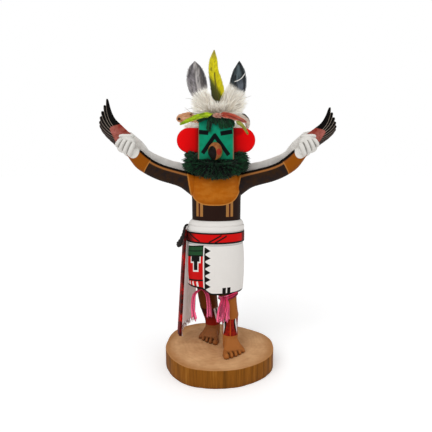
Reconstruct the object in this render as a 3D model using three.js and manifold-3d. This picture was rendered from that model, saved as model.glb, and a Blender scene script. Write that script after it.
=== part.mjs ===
// Carved and painted dancer doll with feathered wings, standing on a slice of log.
// Millimetres, +Z up. The origin is the middle of the slice's underside; the doll faces -Y.
// Its own right side is -X. Heights are above the underside of the slice; x and y of the
// doll's own parts are taken from the doll's upright axis.
import * as THREE from 'three';
import { mergeVertices } from 'three/addons/utils/BufferGeometryUtils.js';
import Module from 'manifold-3d';

const wasm = await Module();
wasm.setup();

// ---- driving sizes ----
const gap = 0.35;                // room kept between touching pieces
const sliceThick = 22;
const sliceRadius = 64.4;
const axisX = -4.6;              // the doll's axis on the slice
const axisY = 10;

const hemZ = 91.6;               // lower edge of the kilt, and how far its right side rises
const hemRise = 7;
const beltLowZ = 154;
const beltTopZ = 167;
const rollTopZ = 180;
const torsoWide = 29.8;          // half sizes
const torsoDeep = 21.6;
const kiltWide = 35.4;
const kiltDeep = 28.2;
const beltStand = 0.8;           // the belt stands this far proud of the kilt

const maskLowZ = 252;
const maskTopZ = 297;
const maskWide = 20.8;
const maskFront = 25;            // from the axis to the flat face
const maskBack = 19;
const ruffTopZ = 256.5;
const earRadius = 14.7;
const earZ = 275.3;
const earReach = 47;             // from the axis to the outer edge
const earThick = 6;

const shoulderOut = 30;          // pivot of each arm, from the axis
const shoulderZ = 225;
const leftArmDroop = 3.2;        // degrees that the left side hangs below a mirror image
const leftWingDroop = 4;
const armDeep = 7.8;
const wingFront = 8.4;           // the wing's front face, behind the axis
const wingThick = 2.6;
const wingFeathers = 8;

const toeCount = 5;
const footLong = 39.5;
const footWide = 12.6;           // half width across the ball

const sashThick = 3;
const sashLowZ = 37;
const yarnThick = 2.6;           // half width of a hanging bundle of tie yarn
const tieRadius = 13.6;          // the tie yarn wound round a leg
const tieHigh = 8;

// ---- solids and meshes ----
function solid(geometry) {
  const bare = geometry.clone();
  bare.deleteAttribute('normal');
  bare.deleteAttribute('uv');
  const merged = mergeVertices(bare, 1e-4);
  return new wasm.Manifold(new wasm.Mesh({
    numProp: 3,
    vertProperties: new Float32Array(merged.attributes.position.array),
    triVerts: new Uint32Array(merged.index.array),
  }));
}

function join(solids) {
  return solids.reduce((whole, piece) => whole.add(piece));
}

function cut(whole, tools) {
  return tools.reduce((rest, tool) => rest.subtract(tool), whole);
}

function toGeometry(shape) {
  const mesh = shape.getMesh();
  const geometry = new THREE.BufferGeometry();
  geometry.setAttribute('position', new THREE.BufferAttribute(mesh.vertProperties, 3));
  geometry.setIndex(new THREE.BufferAttribute(mesh.triVerts, 1));
  geometry.computeVertexNormals();
  return geometry;
}

// Moves every vertex of a geometry through fn(point).
function reshape(geometry, fn) {
  const place = geometry.attributes.position;
  const point = new THREE.Vector3();
  for (let i = 0; i < place.count; i += 1) {
    point.fromBufferAttribute(place, i);
    fn(point);
    place.setXYZ(i, point.x, point.y, point.z);
  }
  return geometry;
}

function mix(a, b, t) {
  return a + (b - a) * t;
}

// Reads column `key` of a list of stations at t from 0 to 1, straight between them.
function along(stations, key, t) {
  const span = t * (stations.length - 1);
  const i = Math.min(Math.floor(span), stations.length - 2);
  return mix(stations[i][key], stations[i + 1][key], span - i);
}

// A rounded unit outline: power 2 is an ellipse, larger is squarer.
function rounded(value, power) {
  return Math.sign(value) * Math.abs(value) ** (2 / power);
}

const xAxis = new THREE.Vector3(1, 0, 0);
const yAxis = new THREE.Vector3(0, 1, 0);

// A limb: rings about a curve through the stations {at, wide, deep}. `across` is the
// direction of wide, and deep is square to it and to the curve.
function limb(stations, { sides = 16, rings = 12, across = xAxis, power = 2 } = {}) {
  const curve = new THREE.CatmullRomCurve3(stations.map((s) => new THREE.Vector3(...s.at)));
  const geometry = new THREE.CylinderGeometry(1, 1, 1, sides, rings);
  return reshape(geometry, (point) => {
    const t = THREE.MathUtils.clamp(point.y + 0.5, 0, 1);
    const ahead = curve.getTangent(t);
    const side = across.clone().addScaledVector(ahead, -across.dot(ahead)).normalize();
    const depth = side.clone().cross(ahead);
    const wide = along(stations, 'wide', t) * rounded(point.x, power);
    const deep = along(stations, 'deep', t) * rounded(point.z, power);
    point.copy(curve.getPoint(t)).addScaledVector(side, wide).addScaledVector(depth, deep);
  });
}

// Level rings {z, wide, deep} about an upright axis, each straight to the next.
function turned(rings, { sides = 24, x = 0, y = 0, power = 2, lift = () => 0, lean = () => 0 } = {}) {
  const geometry = new THREE.CylinderGeometry(1, 1, 1, sides, rings.length - 1);
  return reshape(geometry, (point) => {
    const ring = rings[Math.round((point.y + 0.5) * (rings.length - 1))];
    const px = x + lean(ring.z) + ring.wide * rounded(point.x, power);
    const py = y - ring.deep * rounded(point.z, power);
    point.set(px, py, ring.z + lift(px, py, ring.z));
  });
}

// A ball pulled to half sizes and set down at a point.
function egg(at, half, detail = 10) {
  const geometry = new THREE.SphereGeometry(1, detail, Math.round(detail * 0.7));
  return geometry.scale(...half).translate(...at);
}

// A flat plate cut to an outline in x and z, its front face at y.
function plate(outline, front, thick, bevel = 0) {
  const shape = new THREE.Shape(outline);
  const geometry = new THREE.ExtrudeGeometry(shape, {
    depth: thick - 2 * bevel,
    bevelEnabled: bevel > 0,
    bevelThickness: bevel,
    bevelSize: bevel,
    bevelOffset: -bevel,
    bevelSegments: 1,
    curveSegments: 12,
  });
  return geometry.rotateX(Math.PI / 2).translate(0, front + thick - bevel, 0);
}

// A feather's vane: a thin leaf along a curve. `face` is the way its flat side looks,
// swell(t) its half width from root to tip, and edge its thickness there by the shaft's.
function vane(points, face, swell, { thick = 1.2, edge = 0.7, steps = 12, grow = 0 } = {}) {
  const curve = new THREE.CatmullRomCurve3(points.map((p) => new THREE.Vector3(...p)));
  const geometry = new THREE.BoxGeometry(1, 1, 1, 2, 1, steps);
  const front = new THREE.Vector3(...face).normalize();
  return reshape(geometry, (point) => {
    const t = THREE.MathUtils.clamp(point.z + 0.5, 0, 1);
    const ahead = curve.getTangent(t);
    const side = front.clone().cross(ahead).normalize();
    const out = ahead.clone().cross(side).normalize();
    const half = (Math.abs(point.x) > 0.25 ? edge : 1) * thick / 2 + grow;
    const across = Math.sign(Math.round(point.x * 2)) * (swell(t) + grow);
    const deep = 2 * point.y * half;
    point.copy(curve.getPoint(t)).addScaledVector(side, across).addScaledVector(out, deep);
  });
}

// Leaf profiles for vanes: half width along the feather.
function leaf(half, stem = 0.15, blunt = 2.6) {
  return (t) => {
    const start = THREE.MathUtils.smoothstep(t, 0, stem);
    const end = Math.max(1 - t ** blunt, 0) ** 0.5;
    return 0.55 + (half - 0.55) * start * end;
  };
}

// ---- the log slice ----
// A round of log, not quite true: a few low swellings round its outline.
function sliceOutline() {
  const swellings = [
    { lobes: 1, high: 2.65, turn: -2.78 },
    { lobes: 2, high: 4.4, turn: -0.28 },
    { lobes: 3, high: 2.5, turn: 0.05 },
    { lobes: 4, high: 0.7, turn: 0.64 },
  ];
  const points = [];
  const steps = 42;
  for (let i = 0; i < steps; i += 1) {
    const turn = (i / steps) * 2 * Math.PI;
    const bump = swellings.reduce((sum, s) => sum + s.high * Math.cos(s.lobes * (turn - s.turn)), 0);
    const radius = sliceRadius + bump;
    points.push(new THREE.Vector2(radius * Math.cos(turn), radius * Math.sin(turn)));
  }
  return points;
}

function sliceGeometry() {
  const edge = 0.8;
  return new THREE.ExtrudeGeometry(new THREE.Shape(sliceOutline()), {
    depth: sliceThick - 2 * edge,
    bevelThickness: edge,
    bevelSize: edge,
    bevelOffset: -edge,
    bevelSegments: 1,
  }).translate(0, 0, edge);
}

// ---- the carved figure ----
function hemLift(x, y, z) {
  const share = THREE.MathUtils.smoothstep(-x, 4, 18);
  const fade = 1 - THREE.MathUtils.smoothstep(z, hemZ, hemZ + 30);
  return hemRise * share * fade;
}

// The kilt sits a little towards the doll's right of its chest.
function bodyLean(z) {
  return mix(-1, 0.4, THREE.MathUtils.smoothstep(z, beltTopZ, rollTopZ));
}

// Kilt, belt, rolled waist and chest, from the hem up to the neck.
function bodyRings() {
  const belt = { wide: kiltWide + beltStand, deep: kiltDeep + beltStand };
  return [
    { z: hemZ, wide: kiltWide - 1.2, deep: kiltDeep - 1.2 },
    { z: hemZ + 3, wide: kiltWide - 0.4, deep: kiltDeep - 0.4 },
    { z: 108, wide: kiltWide + 0.5, deep: kiltDeep + 0.2 },
    { z: 125, wide: kiltWide + 0.9, deep: kiltDeep + 0.5 },
    { z: 142, wide: kiltWide + 0.3, deep: kiltDeep },
    { z: beltLowZ - 0.5, wide: kiltWide - 1, deep: kiltDeep - 1 },
    { z: beltLowZ, ...belt },
    { z: beltTopZ, ...belt },
    { z: beltTopZ + 0.5, wide: kiltWide - 0.4, deep: kiltDeep - 0.6 },
    { z: 170.5, wide: kiltWide + 0.4, deep: kiltDeep },
    { z: 173.6, wide: kiltWide - 0.4, deep: kiltDeep - 1 },
    { z: 174.2, wide: 33.6, deep: 26 },
    { z: 177.4, wide: 33, deep: 25.3 },
    { z: rollTopZ - 0.6, wide: 31.2, deep: 23.4 },
    { z: rollTopZ, wide: torsoWide, deep: torsoDeep },
    { z: 193, wide: torsoWide + 0.1, deep: torsoDeep + 0.1 },
    { z: 206, wide: torsoWide + 0.2, deep: torsoDeep },
    { z: 214, wide: torsoWide + 1, deep: torsoDeep - 0.3 },
    { z: 222, wide: torsoWide + 1.4, deep: torsoDeep - 1 },
    { z: 229, wide: torsoWide + 0.2, deep: torsoDeep - 2.4 },
    { z: 234, wide: torsoWide - 3.4, deep: torsoDeep - 4.2 },
    { z: 239, wide: 20, deep: 15.6 },
    { z: 244, wide: 16.5, deep: 14.4 },
    { z: maskLowZ + 1, wide: 16, deep: 14 },
  ];
}

// The whole body grown on all sides, for fitting other pieces against it.
function torsoGeometry(grow) {
  const rings = bodyRings().map((ring) => ({ z: ring.z, wide: ring.wide + grow, deep: ring.deep + grow }));
  rings[0].z -= grow;
  return turned(rings, { lift: hemLift, lean: bodyLean });
}

// The hollow under the kilt's hem.
function hemHollow() {
  const wall = 3.2;
  const rings = [
    { z: hemZ - 3, wide: kiltWide - 1.2 - wall, deep: kiltDeep - 1.2 - wall },
    { z: hemZ + 4, wide: kiltWide - 1.2 - wall, deep: kiltDeep - 1.2 - wall },
  ];
  return turned(rings, { sides: 20, lift: hemLift, lean: bodyLean });
}

// The case mask: flat in front, straight at the sides, round behind.
function maskOutline() {
  const shape = new THREE.Shape();
  shape.moveTo(-maskWide, -maskFront);
  shape.lineTo(maskWide, -maskFront);
  shape.lineTo(maskWide, 0);
  shape.absellipse(0, 0, maskWide, maskBack, 0, Math.PI, false);
  return shape;
}

function maskGeometry() {
  const edge = 1.6;
  const geometry = new THREE.ExtrudeGeometry(maskOutline(), {
    depth: maskTopZ - maskLowZ - 2 * edge,
    bevelThickness: edge,
    bevelSize: edge,
    bevelOffset: -edge,
    bevelSegments: 1,
    curveSegments: 12,
  }).translate(0, 0, maskLowZ + edge);
  return reshape(geometry, (point) => {
    const narrow = 1 - 0.055 * ((point.z - maskLowZ) / (maskTopZ - maskLowZ));
    point.x *= narrow;
  });
}

const legs = {
  left: [
    { at: [14.4, -10, 99.5], wide: 10.6, deep: 11 },
    { at: [15.4, -12.5, 78], wide: 10.2, deep: 10.6 },
    { at: [16.8, -14.5, 62], wide: 10.3, deep: 10.2 },
    { at: [17.4, -18, 48], wide: 9, deep: 8.8 },
    { at: [17.6, -19.8, 38], wide: 9.2, deep: 8.9 },
    { at: [17.6, -20, 29], wide: 8.6, deep: 8.6 },
  ],
  right: [
    { at: [-14.6, 9, 104], wide: 11.6, deep: 11 },
    { at: [-12, 10.5, 78], wide: 11.2, deep: 10.8 },
    { at: [-9.4, 11.6, 62], wide: 10.2, deep: 10.2 },
    { at: [-6.2, 12, 48], wide: 8.6, deep: 8.8 },
    { at: [-5.2, 12.6, 38], wide: 8.4, deep: 8.7 },
    { at: [-5.2, 13.4, 29], wide: 8.2, deep: 8.4 },
  ],
};

function legGeometry(which, grow = 0) {
  const stations = legs[which].map((s) => ({ at: s.at, wide: s.wide + grow, deep: s.deep + grow }));
  return limb(stations, { sides: 12, rings: 6 });
}

// A foot with its heel end at `ankle`, toes towards -Y, big toe on the inner side.
function footSolids(ankle, inner, turn) {
  const sole = sliceThick + gap;
  const profile = [
    { run: -11, wide: 4.6, high: 8 },
    { run: -8, wide: 7.8, high: 13 },
    { run: -2, wide: 9, high: 19 },
    { run: 6, wide: 9.4, high: 19.5 },
    { run: 13, wide: 10.6, high: 13.5 },
    { run: 19, wide: 12, high: 9.4 },
    { run: 24, wide: footWide, high: 7 },
  ];
  const stations = profile.map((p) => ({ at: [0, -p.run, sole], wide: p.wide, deep: p.high }));
  const pieces = [limb(stations, { sides: 12, rings: 6, power: 2.4 })];
  const bigWide = 8;
  const smallWide = (2 * footWide - bigWide) / (toeCount - 1);
  let edge = -footWide;
  for (let i = 0; i < toeCount; i += 1) {
    const wide = i === 0 ? bigWide : smallWide;
    const x = inner * -(edge + wide / 2);
    const tip = footLong - 11 - 0.5 * i - 0.42 * i * i;
    const half = wide / 2 + 0.25;
    pieces.push(limb([
      { at: [x, -18, sole + 1], wide: half, deep: 5 },
      { at: [x, -tip + 2.4, sole + 1.4], wide: half, deep: 5.2 },
      { at: [x, -tip, sole + 1.2], wide: half * 0.5, deep: 2.8 },
    ], { sides: 7, rings: 2, power: 2.3 }));
    edge += wide;
  }
  return pieces.map((piece) => solid(piece.rotateZ(turn).translate(ankle[0], ankle[1], 0)));
}

function groundBlock() {
  return new THREE.BoxGeometry(160, 160, 30).translate(0, 0, sliceThick + gap - 15);
}

function figureSolid() {
  const body = cut(solid(torsoGeometry(0)), [solid(hemHollow())]);
  const limbs = [
    solid(legGeometry('left')),
    solid(legGeometry('right')),
    ...footSolids([17.8, -19], -1, 0.04),
    ...footSolids([-5.4, 15.6], 1, -0.32),
  ];
  const standing = cut(join([body, ...limbs]), [solid(groundBlock())]);
  return join([standing, solid(maskGeometry())]);
}

// ---- arms and wings ----
// Takes a point given outwards and upwards to its place on either side. The left arm and
// wing are a mirror image of the right, swung down a little about the shoulder.
function layOn(side, leftDroop = leftArmDroop) {
  const droop = side > 0 ? -THREE.MathUtils.degToRad(leftDroop) : 0;
  return (out, up) => {
    const x = out - shoulderOut;
    const z = up - shoulderZ;
    const turnedX = x * Math.cos(droop) - z * Math.sin(droop);
    const turnedZ = x * Math.sin(droop) + z * Math.cos(droop);
    return [side * (shoulderOut + turnedX), shoulderZ + turnedZ];
  };
}

function armStations(lay, grow = 0) {
  const line = [
    [25, 221.5, 14.5, 11.4, 0],
    [34, 226.6, 11.8, 9.6, 0],
    [43, 230, 10.2, 8.4, 0],
    [54, 233.2, 9.8, armDeep, 0],
    [66, 236.8, 9.8, armDeep, 0],
    [77.7, 242, 9.7, armDeep, 0],
    [88.9, 248.6, 9.3, armDeep - 0.2, -0.5],
    [95, 254.6, 8.5, armDeep - 0.8, -1.5],
    [100, 260.5, 7.6, armDeep - 1.4, -2.5],
  ];
  return line.map(([out, up, high, deep, y]) => {
    const [x, z] = lay(out, up);
    return { at: [x, y, z], wide: deep + grow, deep: high + grow };
  });
}

function armGeometry(lay, grow = 0) {
  return limb(armStations(lay, grow), { sides: 10, rings: 9, across: yAxis, power: 2.3 });
}

// A closed fist: the palm, its heel, four fingers curled over the front and a thumb on top.
function fistSolids(lay) {
  const finger = (from, to, y, radius) => {
    const [x0, z0] = lay(...from);
    const [x1, z1] = lay(...to);
    const middle = [(x0 + x1) / 2, y - 1.4, (z0 + z1) / 2];
    return limb([
      { at: [x0, y + 2.4, z0], wide: radius * 0.5, deep: radius * 0.5 },
      { at: [mix(x0, middle[0], 0.35), y + 0.2, mix(z0, middle[2], 0.35)], wide: radius, deep: radius },
      { at: middle, wide: radius, deep: radius },
      { at: [mix(x1, middle[0], 0.35), y + 0.2, mix(z1, middle[2], 0.35)], wide: radius, deep: radius },
      { at: [x1, y + 2.4, z1], wide: radius * 0.5, deep: radius * 0.5 },
    ], { sides: 6, rings: 4, across: yAxis });
  };
  const [palmX, palmZ] = lay(106.5, 269.5);
  const [heelX, heelZ] = lay(99, 263.2);
  const pieces = [
    egg([palmX, -3.4, palmZ], [10.6, 6.2, 9], 8),
    egg([heelX, -3, heelZ], [8, 6.8, 8.8], 7),
    finger([116, 279.6], [100, 280], -3, 2.7),
  ];
  const fingers = 4;
  for (let i = 0; i < fingers; i += 1) {
    const out = 117 - 3.9 * i;
    const drop = 1.7 * i - 0.35 * i * i;
    pieces.push(finger([out - 0.4, 277.5 - 0.4 * i], [out, 264 - drop], -8.4, 2.5));
  }
  return pieces.map(solid);
}

function armSolid(side, torso) {
  const lay = layOn(side);
  return cut(join([solid(armGeometry(lay)), ...fistSolids(lay)]), [torso]);
}

// The long outer feathers of one wing, overlapping like a fan, and the band of short
// feathers that runs along the arm.
function wingSolid(side) {
  const lay = layOn(side, leftWingDroop);
  const tips = new THREE.CatmullRomCurve3([
    new THREE.Vector3(131.8, 325.6),
    new THREE.Vector3(139.4, 309.5),
    new THREE.Vector3(142.4, 297),
    new THREE.Vector3(138.6, 289.2),
    new THREE.Vector3(128, 281.6),
  ]);
  const pieces = [];
  for (let i = 0; i < wingFeathers; i += 1) {
    const t = i / (wingFeathers - 1);
    const tip = tips.getPoint(t);
    const root = [mix(103, 102, t), mix(277.5, 268, t)];
    const bow = mix(10.5, 3.5, t);
    const middle = [(root[0] + tip.x) / 2 + bow * 0.75, (root[1] + tip.y) / 2 - bow * 0.66];
    const y = wingFront + wingThick / 2 + 0.22 * i;
    const route = [root, middle, [tip.x, tip.y]].map(([out, up]) => {
      const [x, z] = lay(out, up);
      return [x, y, z];
    });
    const swell = leaf(mix(4.8, 5, t), 0.05, 2.8);
    pieces.push(solid(vane(route, [0, -1, 0], swell, { thick: wingThick, edge: 1, steps: 5 })));
  }
  pieces.push(solid(bandGeometry(lay)));
  return cut(join(pieces), [solid(armGeometry(layOn(side), gap))]);
}

function bandGeometry(lay, grow = 0) {
  const band = [
    [33, 239], [36, 245], [43, 249.2], [54, 251.6], [67, 256.3], [77.7, 261.1], [83.4, 264.6],
    [87.4, 270.4], [91.4, 275.2], [102.7, 283.9], [109, 286.5], [115, 281], [114, 272],
    [106, 265], [97, 257.5], [88, 249], [78, 241.5], [58, 233.5], [36, 228],
  ];
  const outline = band.map(([out, up]) => new THREE.Vector2(...lay(out, up)));
  const front = wingFront - 0.1 - grow;
  return plate(outline, front, wingThick + 1.4 + 2 * grow, grow > 0 ? 0 : 0.6);
}

// ---- pieces on the head ----
function earGeometry(side) {
  const inner = maskWide + gap;
  const centre = earReach - earRadius;
  const shape = new THREE.Shape();
  shape.moveTo(side * inner, -earRadius);
  shape.lineTo(side * centre, -earRadius);
  shape.absarc(side * centre, 0, earRadius, -Math.PI / 2, Math.PI / 2, side < 0);
  shape.lineTo(side * inner, earRadius);
  const outline = shape.getPoints(10);
  return plate(outline, -earThick + 1, earThick, 0.7).translate(0, 0, earZ);
}

function beakGeometry(grow = 0) {
  return limb([
    { at: [-1.6, -maskFront - gap, 262], wide: 8 + grow, deep: 9.7 + grow },
    { at: [-1.6, -maskFront - 3, 262], wide: 7.8 + grow, deep: 9.5 + grow },
    { at: [-2.6, -maskFront - 8, 260], wide: 6.6 + grow, deep: 8.4 + grow },
    { at: [-3.6, -maskFront - 11, 258.6], wide: 4.8 + grow, deep: 6.6 + grow },
    { at: [-4.2, -maskFront - 12.2, 257.8], wide: 2.4 + grow, deep: 3.4 + grow },
  ], { sides: 14, rings: 6 });
}

// The ruff of cut yarn round the neck: a full ring with a tufted outline, pressed back
// by whatever it lies against.
function ruffSolid() {
  const flat = 0.84;
  const tufts = 14;
  const profile = [
    [17.5, 240.5], [24, 231.5], [30, 227.6], [36, 232.5], [38.6, 241.5], [38, 250.5],
    [34, ruffTopZ], [31.4, ruffTopZ - 1], [31.2, maskLowZ - 1], [17.5, maskLowZ - 1], [17.5, 240.5],
  ].map(([r, z]) => new THREE.Vector2(r, z));
  const geometry = new THREE.LatheGeometry(profile, tufts * 2).rotateX(Math.PI / 2);
  reshape(geometry, (point) => {
    const radius = Math.hypot(point.x, point.y);
    const turn = Math.atan2(point.y, point.x);
    const tuft = radius > 33 ? 1.1 * Math.cos(tufts * turn + point.z) : 0;
    const scale = (radius + tuft) / radius;
    const low = THREE.MathUtils.clamp((ruffTopZ - 8 - point.z) / 18, 0, 1);
    const high = THREE.MathUtils.clamp((point.z - 246) / 8, 0, 1);
    const ahead = THREE.MathUtils.smoothstep(-Math.sin(turn), 0.2, 0.9);
    const rise = 9 * low * Math.cos(turn) ** 2 - 7.5 * high * ahead;
    point.set(point.x * scale, point.y * scale * flat, point.z + rise);
  });
  const mask = maskGeometry().scale(1.02, 1.02, 1).translate(0, 0, -gap);
  const tools = [solid(torsoGeometry(gap)), solid(mask), solid(beakGeometry(gap + 0.3))];
  for (const side of [-1, 1]) {
    const band = bandGeometry(layOn(side, leftWingDroop), gap);
    tools.push(solid(armGeometry(layOn(side), gap)), solid(band));
  }
  return cut(solid(geometry), tools);
}

function hairCap() {
  return egg([0, -7, maskTopZ - 1], [19, 21.5, 8], 12);
}

// Short yarn laid over the crown and parted on the brow.
function hairSolid() {
  const brow = -maskFront - gap;
  const lock = (x0, z0, x1, z1, wide) => solid(limb([
    { at: [x0, brow - 1.8, z0], wide, deep: 1.5 },
    { at: [mix(x0, x1, 0.5), brow - 1.9, mix(z0, z1, 0.5)], wide, deep: 1.5 },
    { at: [x1, brow - 1.5, z1], wide: wide * 0.4, deep: 0.9 },
  ], { sides: 6, rings: 2 }));
  return cut(join([
    solid(hairCap()),
    lock(-4, 300, -7.6, 283, 3),
    lock(3, 300, 6, 285, 2.6),
    lock(9, 300, 16, 287, 4),
    lock(14, 298, 20, 289, 3.4),
    lock(-7, 301, -18, 293, 3),
  ]), [
    solid(maskGeometry().scale(1.02, 1, 1).translate(0, -gap, 0)),
    solid(new THREE.BoxGeometry(80, 80, 20).translate(0, 16, maskTopZ - 10 + gap)),
  ]);
}

// The three tall feathers: each a quill from the crown and a vane above the down. Route
// points are x and z; half is the widest half width, and full where along it that falls.
const tallFeathers = {
  feather_grey: {
    half: 12.4, full: 0.5, route: [[-10, 303.5], [-17, 322], [-22.5, 338], [-24.6, 352], [-24.6, 365.5]],
  },
  feather_yellow: {
    half: 8, full: 0.42, route: [[0, 304.8], [1.4, 324], [1.2, 338], [-2.6, 354], [-2.1, 376.5]],
  },
  feather_slate: {
    half: 10.6, full: 0.45, route: [[14, 302.2], [22, 322], [25.2, 338], [26, 352], [26.6, 364.6]],
  },
};

function tallFeather(name, grow = 0) {
  const { half, full, route } = tallFeathers[name];
  const quill = 0.8;
  const swell = (t) => {
    const start = THREE.MathUtils.smoothstep(t, 0.14, full);
    const end = Math.max(1 - (t < full ? 0 : (t - full) / (1 - full)) ** 2.2, 0) ** 0.75;
    return quill + (half - quill) * start * end;
  };
  const y = -6;
  const points = route.map(([x, z], i) => [x, y - 0.6 * i, z]);
  return vane(points, [0, -1, 0.05], swell, { thick: 1.3, steps: 14, grow });
}

// The white down that the tall feathers stand in.
function downSolid() {
  const puff = (x0, z0, x1, z1, wide) => solid(limb([
    { at: [x0, -6, z0], wide: wide * 0.6, deep: 5 },
    { at: [mix(x0, x1, 0.4), -7, mix(z0, z1, 0.4)], wide: wide * 0.95, deep: 8.5 },
    { at: [mix(x0, x1, 0.8), -7, mix(z0, z1, 0.8)], wide, deep: 8 },
    { at: [x1, -7, z1], wide: wide * 0.45, deep: 3.5 },
  ], { sides: 7, rings: 3 }));
  const puffs = [
    puff(-11, 303, -19, 334, 12.6),
    puff(1, 303, 1, 324, 11),
    puff(15, 303, 24, 337, 13),
    puff(-4, 303, -9, 326, 9),
    puff(7, 303, 13, 329, 9),
  ];
  const stems = Object.keys(tallFeathers).map((name) => solid(tallFeather(name, gap)));
  return cut(join(puffs), [...stems, solid(hairCap().translate(0, 0, gap))]);
}

// The small feathers laid across the brow and behind the ears, root first.
const smallFeathers = {
  feather_lime: { half: 3, route: [[-4.5, -29.6, 301.8], [-20, -31, 298.6], [-36.6, -29, 291.6]] },
  feather_olive: { half: 2.3, route: [[22, -33.4, 293.6], [29.5, -33.8, 288.6], [35.8, -31.4, 279.5]] },
  plume_tan_right: { half: 6.2, blunt: 7, route: [[-14, 12, 298.6], [-30, 14.5, 303], [-46.5, 14, 301]] },
  plume_tan_left: { half: 4.6, route: [[13, 12, 298.6], [27, 15, 306], [36, 15.5, 301], [38.4, 15, 291]] },
  plume_tan_back: { half: 5.6, route: [[-4, 20.4, 268], [-6, 34.6, 252], [-14, 35, 228], [-30.5, 28, 193]] },
};

function smallVane({ half, route, blunt = 2.6 }, grow = 0) {
  return vane(route, [0, -1, 0.25], leaf(half, 0.2, blunt), { thick: 1.1, steps: 8, grow });
}

// The rust feather, with the knot of fluff that ties the brow feathers down.
function rustSolid() {
  const route = [[4, -30.4, 301.8], [19, -31.4, 298.8], [34.5, -28.6, 292.8]];
  return join([solid(smallVane({ half: 3.2, route })), solid(egg([3, -31, 300.6], [5.4, 2.2, 3], 9))]);
}

// The tuft of down between each ear and the tan plume above it.
function sideDown(side) {
  const half = side < 0 ? [11, 5, 5.4] : [8.5, 4.6, 5];
  const plume = side < 0 ? smallFeathers.plume_tan_right : smallFeathers.plume_tan_left;
  const tuft = solid(egg([side * (maskWide + half[0] * 0.7), 8.5, 292.6], half, 10));
  const mask = maskGeometry().scale(1.02, 1.02, 1);
  return cut(tuft, [solid(mask), solid(smallVane(plume, gap))]);
}

// ---- side sash, tie end and leg ties ----
// The sash hangs from the belt at the right hip: a bent plate that follows the kilt's
// outline round from front to back and flares outwards as it falls.
function sashGeometry() {
  const turnFrom = THREE.MathUtils.degToRad(-22);
  const turnTo = THREE.MathUtils.degToRad(52);
  const geometry = new THREE.BoxGeometry(1, 1, 1, 8, 1, 5);
  const topZ = beltTopZ + 1.5;
  return reshape(geometry, (point) => {
    const turn = mix(turnFrom, turnTo, point.x + 0.5);
    const drop = 0.5 - point.z;
    const lowZ = sashLowZ - 3 + 6 * (point.x + 0.5);
    const flare = 8.5 * drop;
    const stand = beltStand + 2 * gap + 0.8 + flare + (point.y > 0 ? sashThick : 0);
    const wide = kiltWide + stand;
    const deep = kiltDeep + stand;
    point.set(-wide * Math.cos(turn), deep * Math.sin(turn), mix(topZ, lowZ, drop));
  });
}

function tieEndGeometry() {
  return limb([
    { at: [-36.6, -3.4, 175.4], wide: 0.9, deep: 0.9 },
    { at: [-41, -8, 170.4], wide: 1.2, deep: 1.2 },
    { at: [-42.6, -8.6, 161], wide: 1.4, deep: 1.4 },
    { at: [-44.8, -7, 153.6], wide: 2, deep: 2 },
    { at: [-46.4, -7, 149], wide: 2.8, deep: 2.6 },
    { at: [-47.4, -7, 146], wide: 1.8, deep: 1.8 },
  ], { sides: 7, rings: 7 });
}

// Yarn tied below the kilt: a band round the leg and loose bundles hanging from it.
function legTieSolid(which, strands, bandZ) {
  const leg = legs[which];
  const [top, next] = leg;
  const t = (top.at[2] - bandZ) / (top.at[2] - next.at[2]);
  const middle = [mix(top.at[0], next.at[0], t), mix(top.at[1], next.at[1], t)];
  const profile = [[-0.5, -1.4], [-0.25, 0], [0.25, 0], [0.5, -1.4]];
  const ring = turned(profile.map(([level, pinch]) => ({
    z: bandZ + level * tieHigh,
    wide: tieRadius + pinch,
    deep: tieRadius + pinch,
  })), { sides: 12, x: middle[0], y: middle[1] });
  const bundles = strands.map((line) => {
    const stations = line.map((at, i) => {
      const half = yarnThick * [0.9, 1, 1, 0.55][i];
      return { at, wide: half, deep: half * 0.8 };
    });
    return solid(limb(stations, { sides: 5, rings: 4 }));
  });
  return cut(join([solid(ring), ...bundles]), [
    solid(legGeometry(which, gap)),
    solid(torsoGeometry(gap)),
  ]);
}

const leftStrands = [
  [[7, -22, 88], [4.5, -26.5, 80], [2.6, -27.2, 69], [2.2, -27, 57]],
  [[9.5, -23.4, 88], [8, -28, 79], [6, -29.2, 68], [5.4, -29, 58]],
  [[12.5, -24.4, 88], [13, -29, 78], [11, -29.8, 68], [10.5, -29, 60]],
];
const rightStrands = [
  [[-21, 2, 93], [-27, -4, 84], [-29.5, -6, 70], [-29.6, -6, 52]],
  [[-12, -3, 93], [-9, -6.5, 84], [-6.5, -7.5, 70], [-7.4, -7, 53]],
];

// ---- the whole part ----
function material(color, roughness = 0.6, metalness = 0) {
  return new THREE.MeshStandardMaterial({ color, roughness, metalness });
}

function mesh(name, geometry, finish) {
  const piece = new THREE.Mesh(geometry, finish);
  piece.name = name;
  return piece;
}

const finishes = {
  log: material(0xb98a58, 0.8),
  paint: material(0x3a241e, 0.55),
  wing: material(0xd8d4cf, 0.6),
  red: material(0xc8100f, 0.5),
  black: material(0x17130f, 0.5),
  yarnGreen: material(0x0f3a22, 0.95),
  yarnPink: material(0xd0417f, 0.95),
  down: material(0xe6e0da, 0.95),
  grey: material(0x77777c, 0.8),
  yellow: material(0xcfca12, 0.8),
  slate: material(0x39424a, 0.8),
  lime: material(0x9fb40f, 0.8),
  rust: material(0xb2402a, 0.8),
  olive: material(0x6d7a1b, 0.8),
  tan: material(0xc78f63, 0.8),
};

const part = new THREE.Group();
part.add(mesh('base_slice', sliceGeometry(), finishes.log));

const doll = new THREE.Group();
doll.position.set(axisX, axisY, 0);
part.add(doll);

doll.add(mesh('figure', toGeometry(figureSolid()), finishes.paint));

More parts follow.
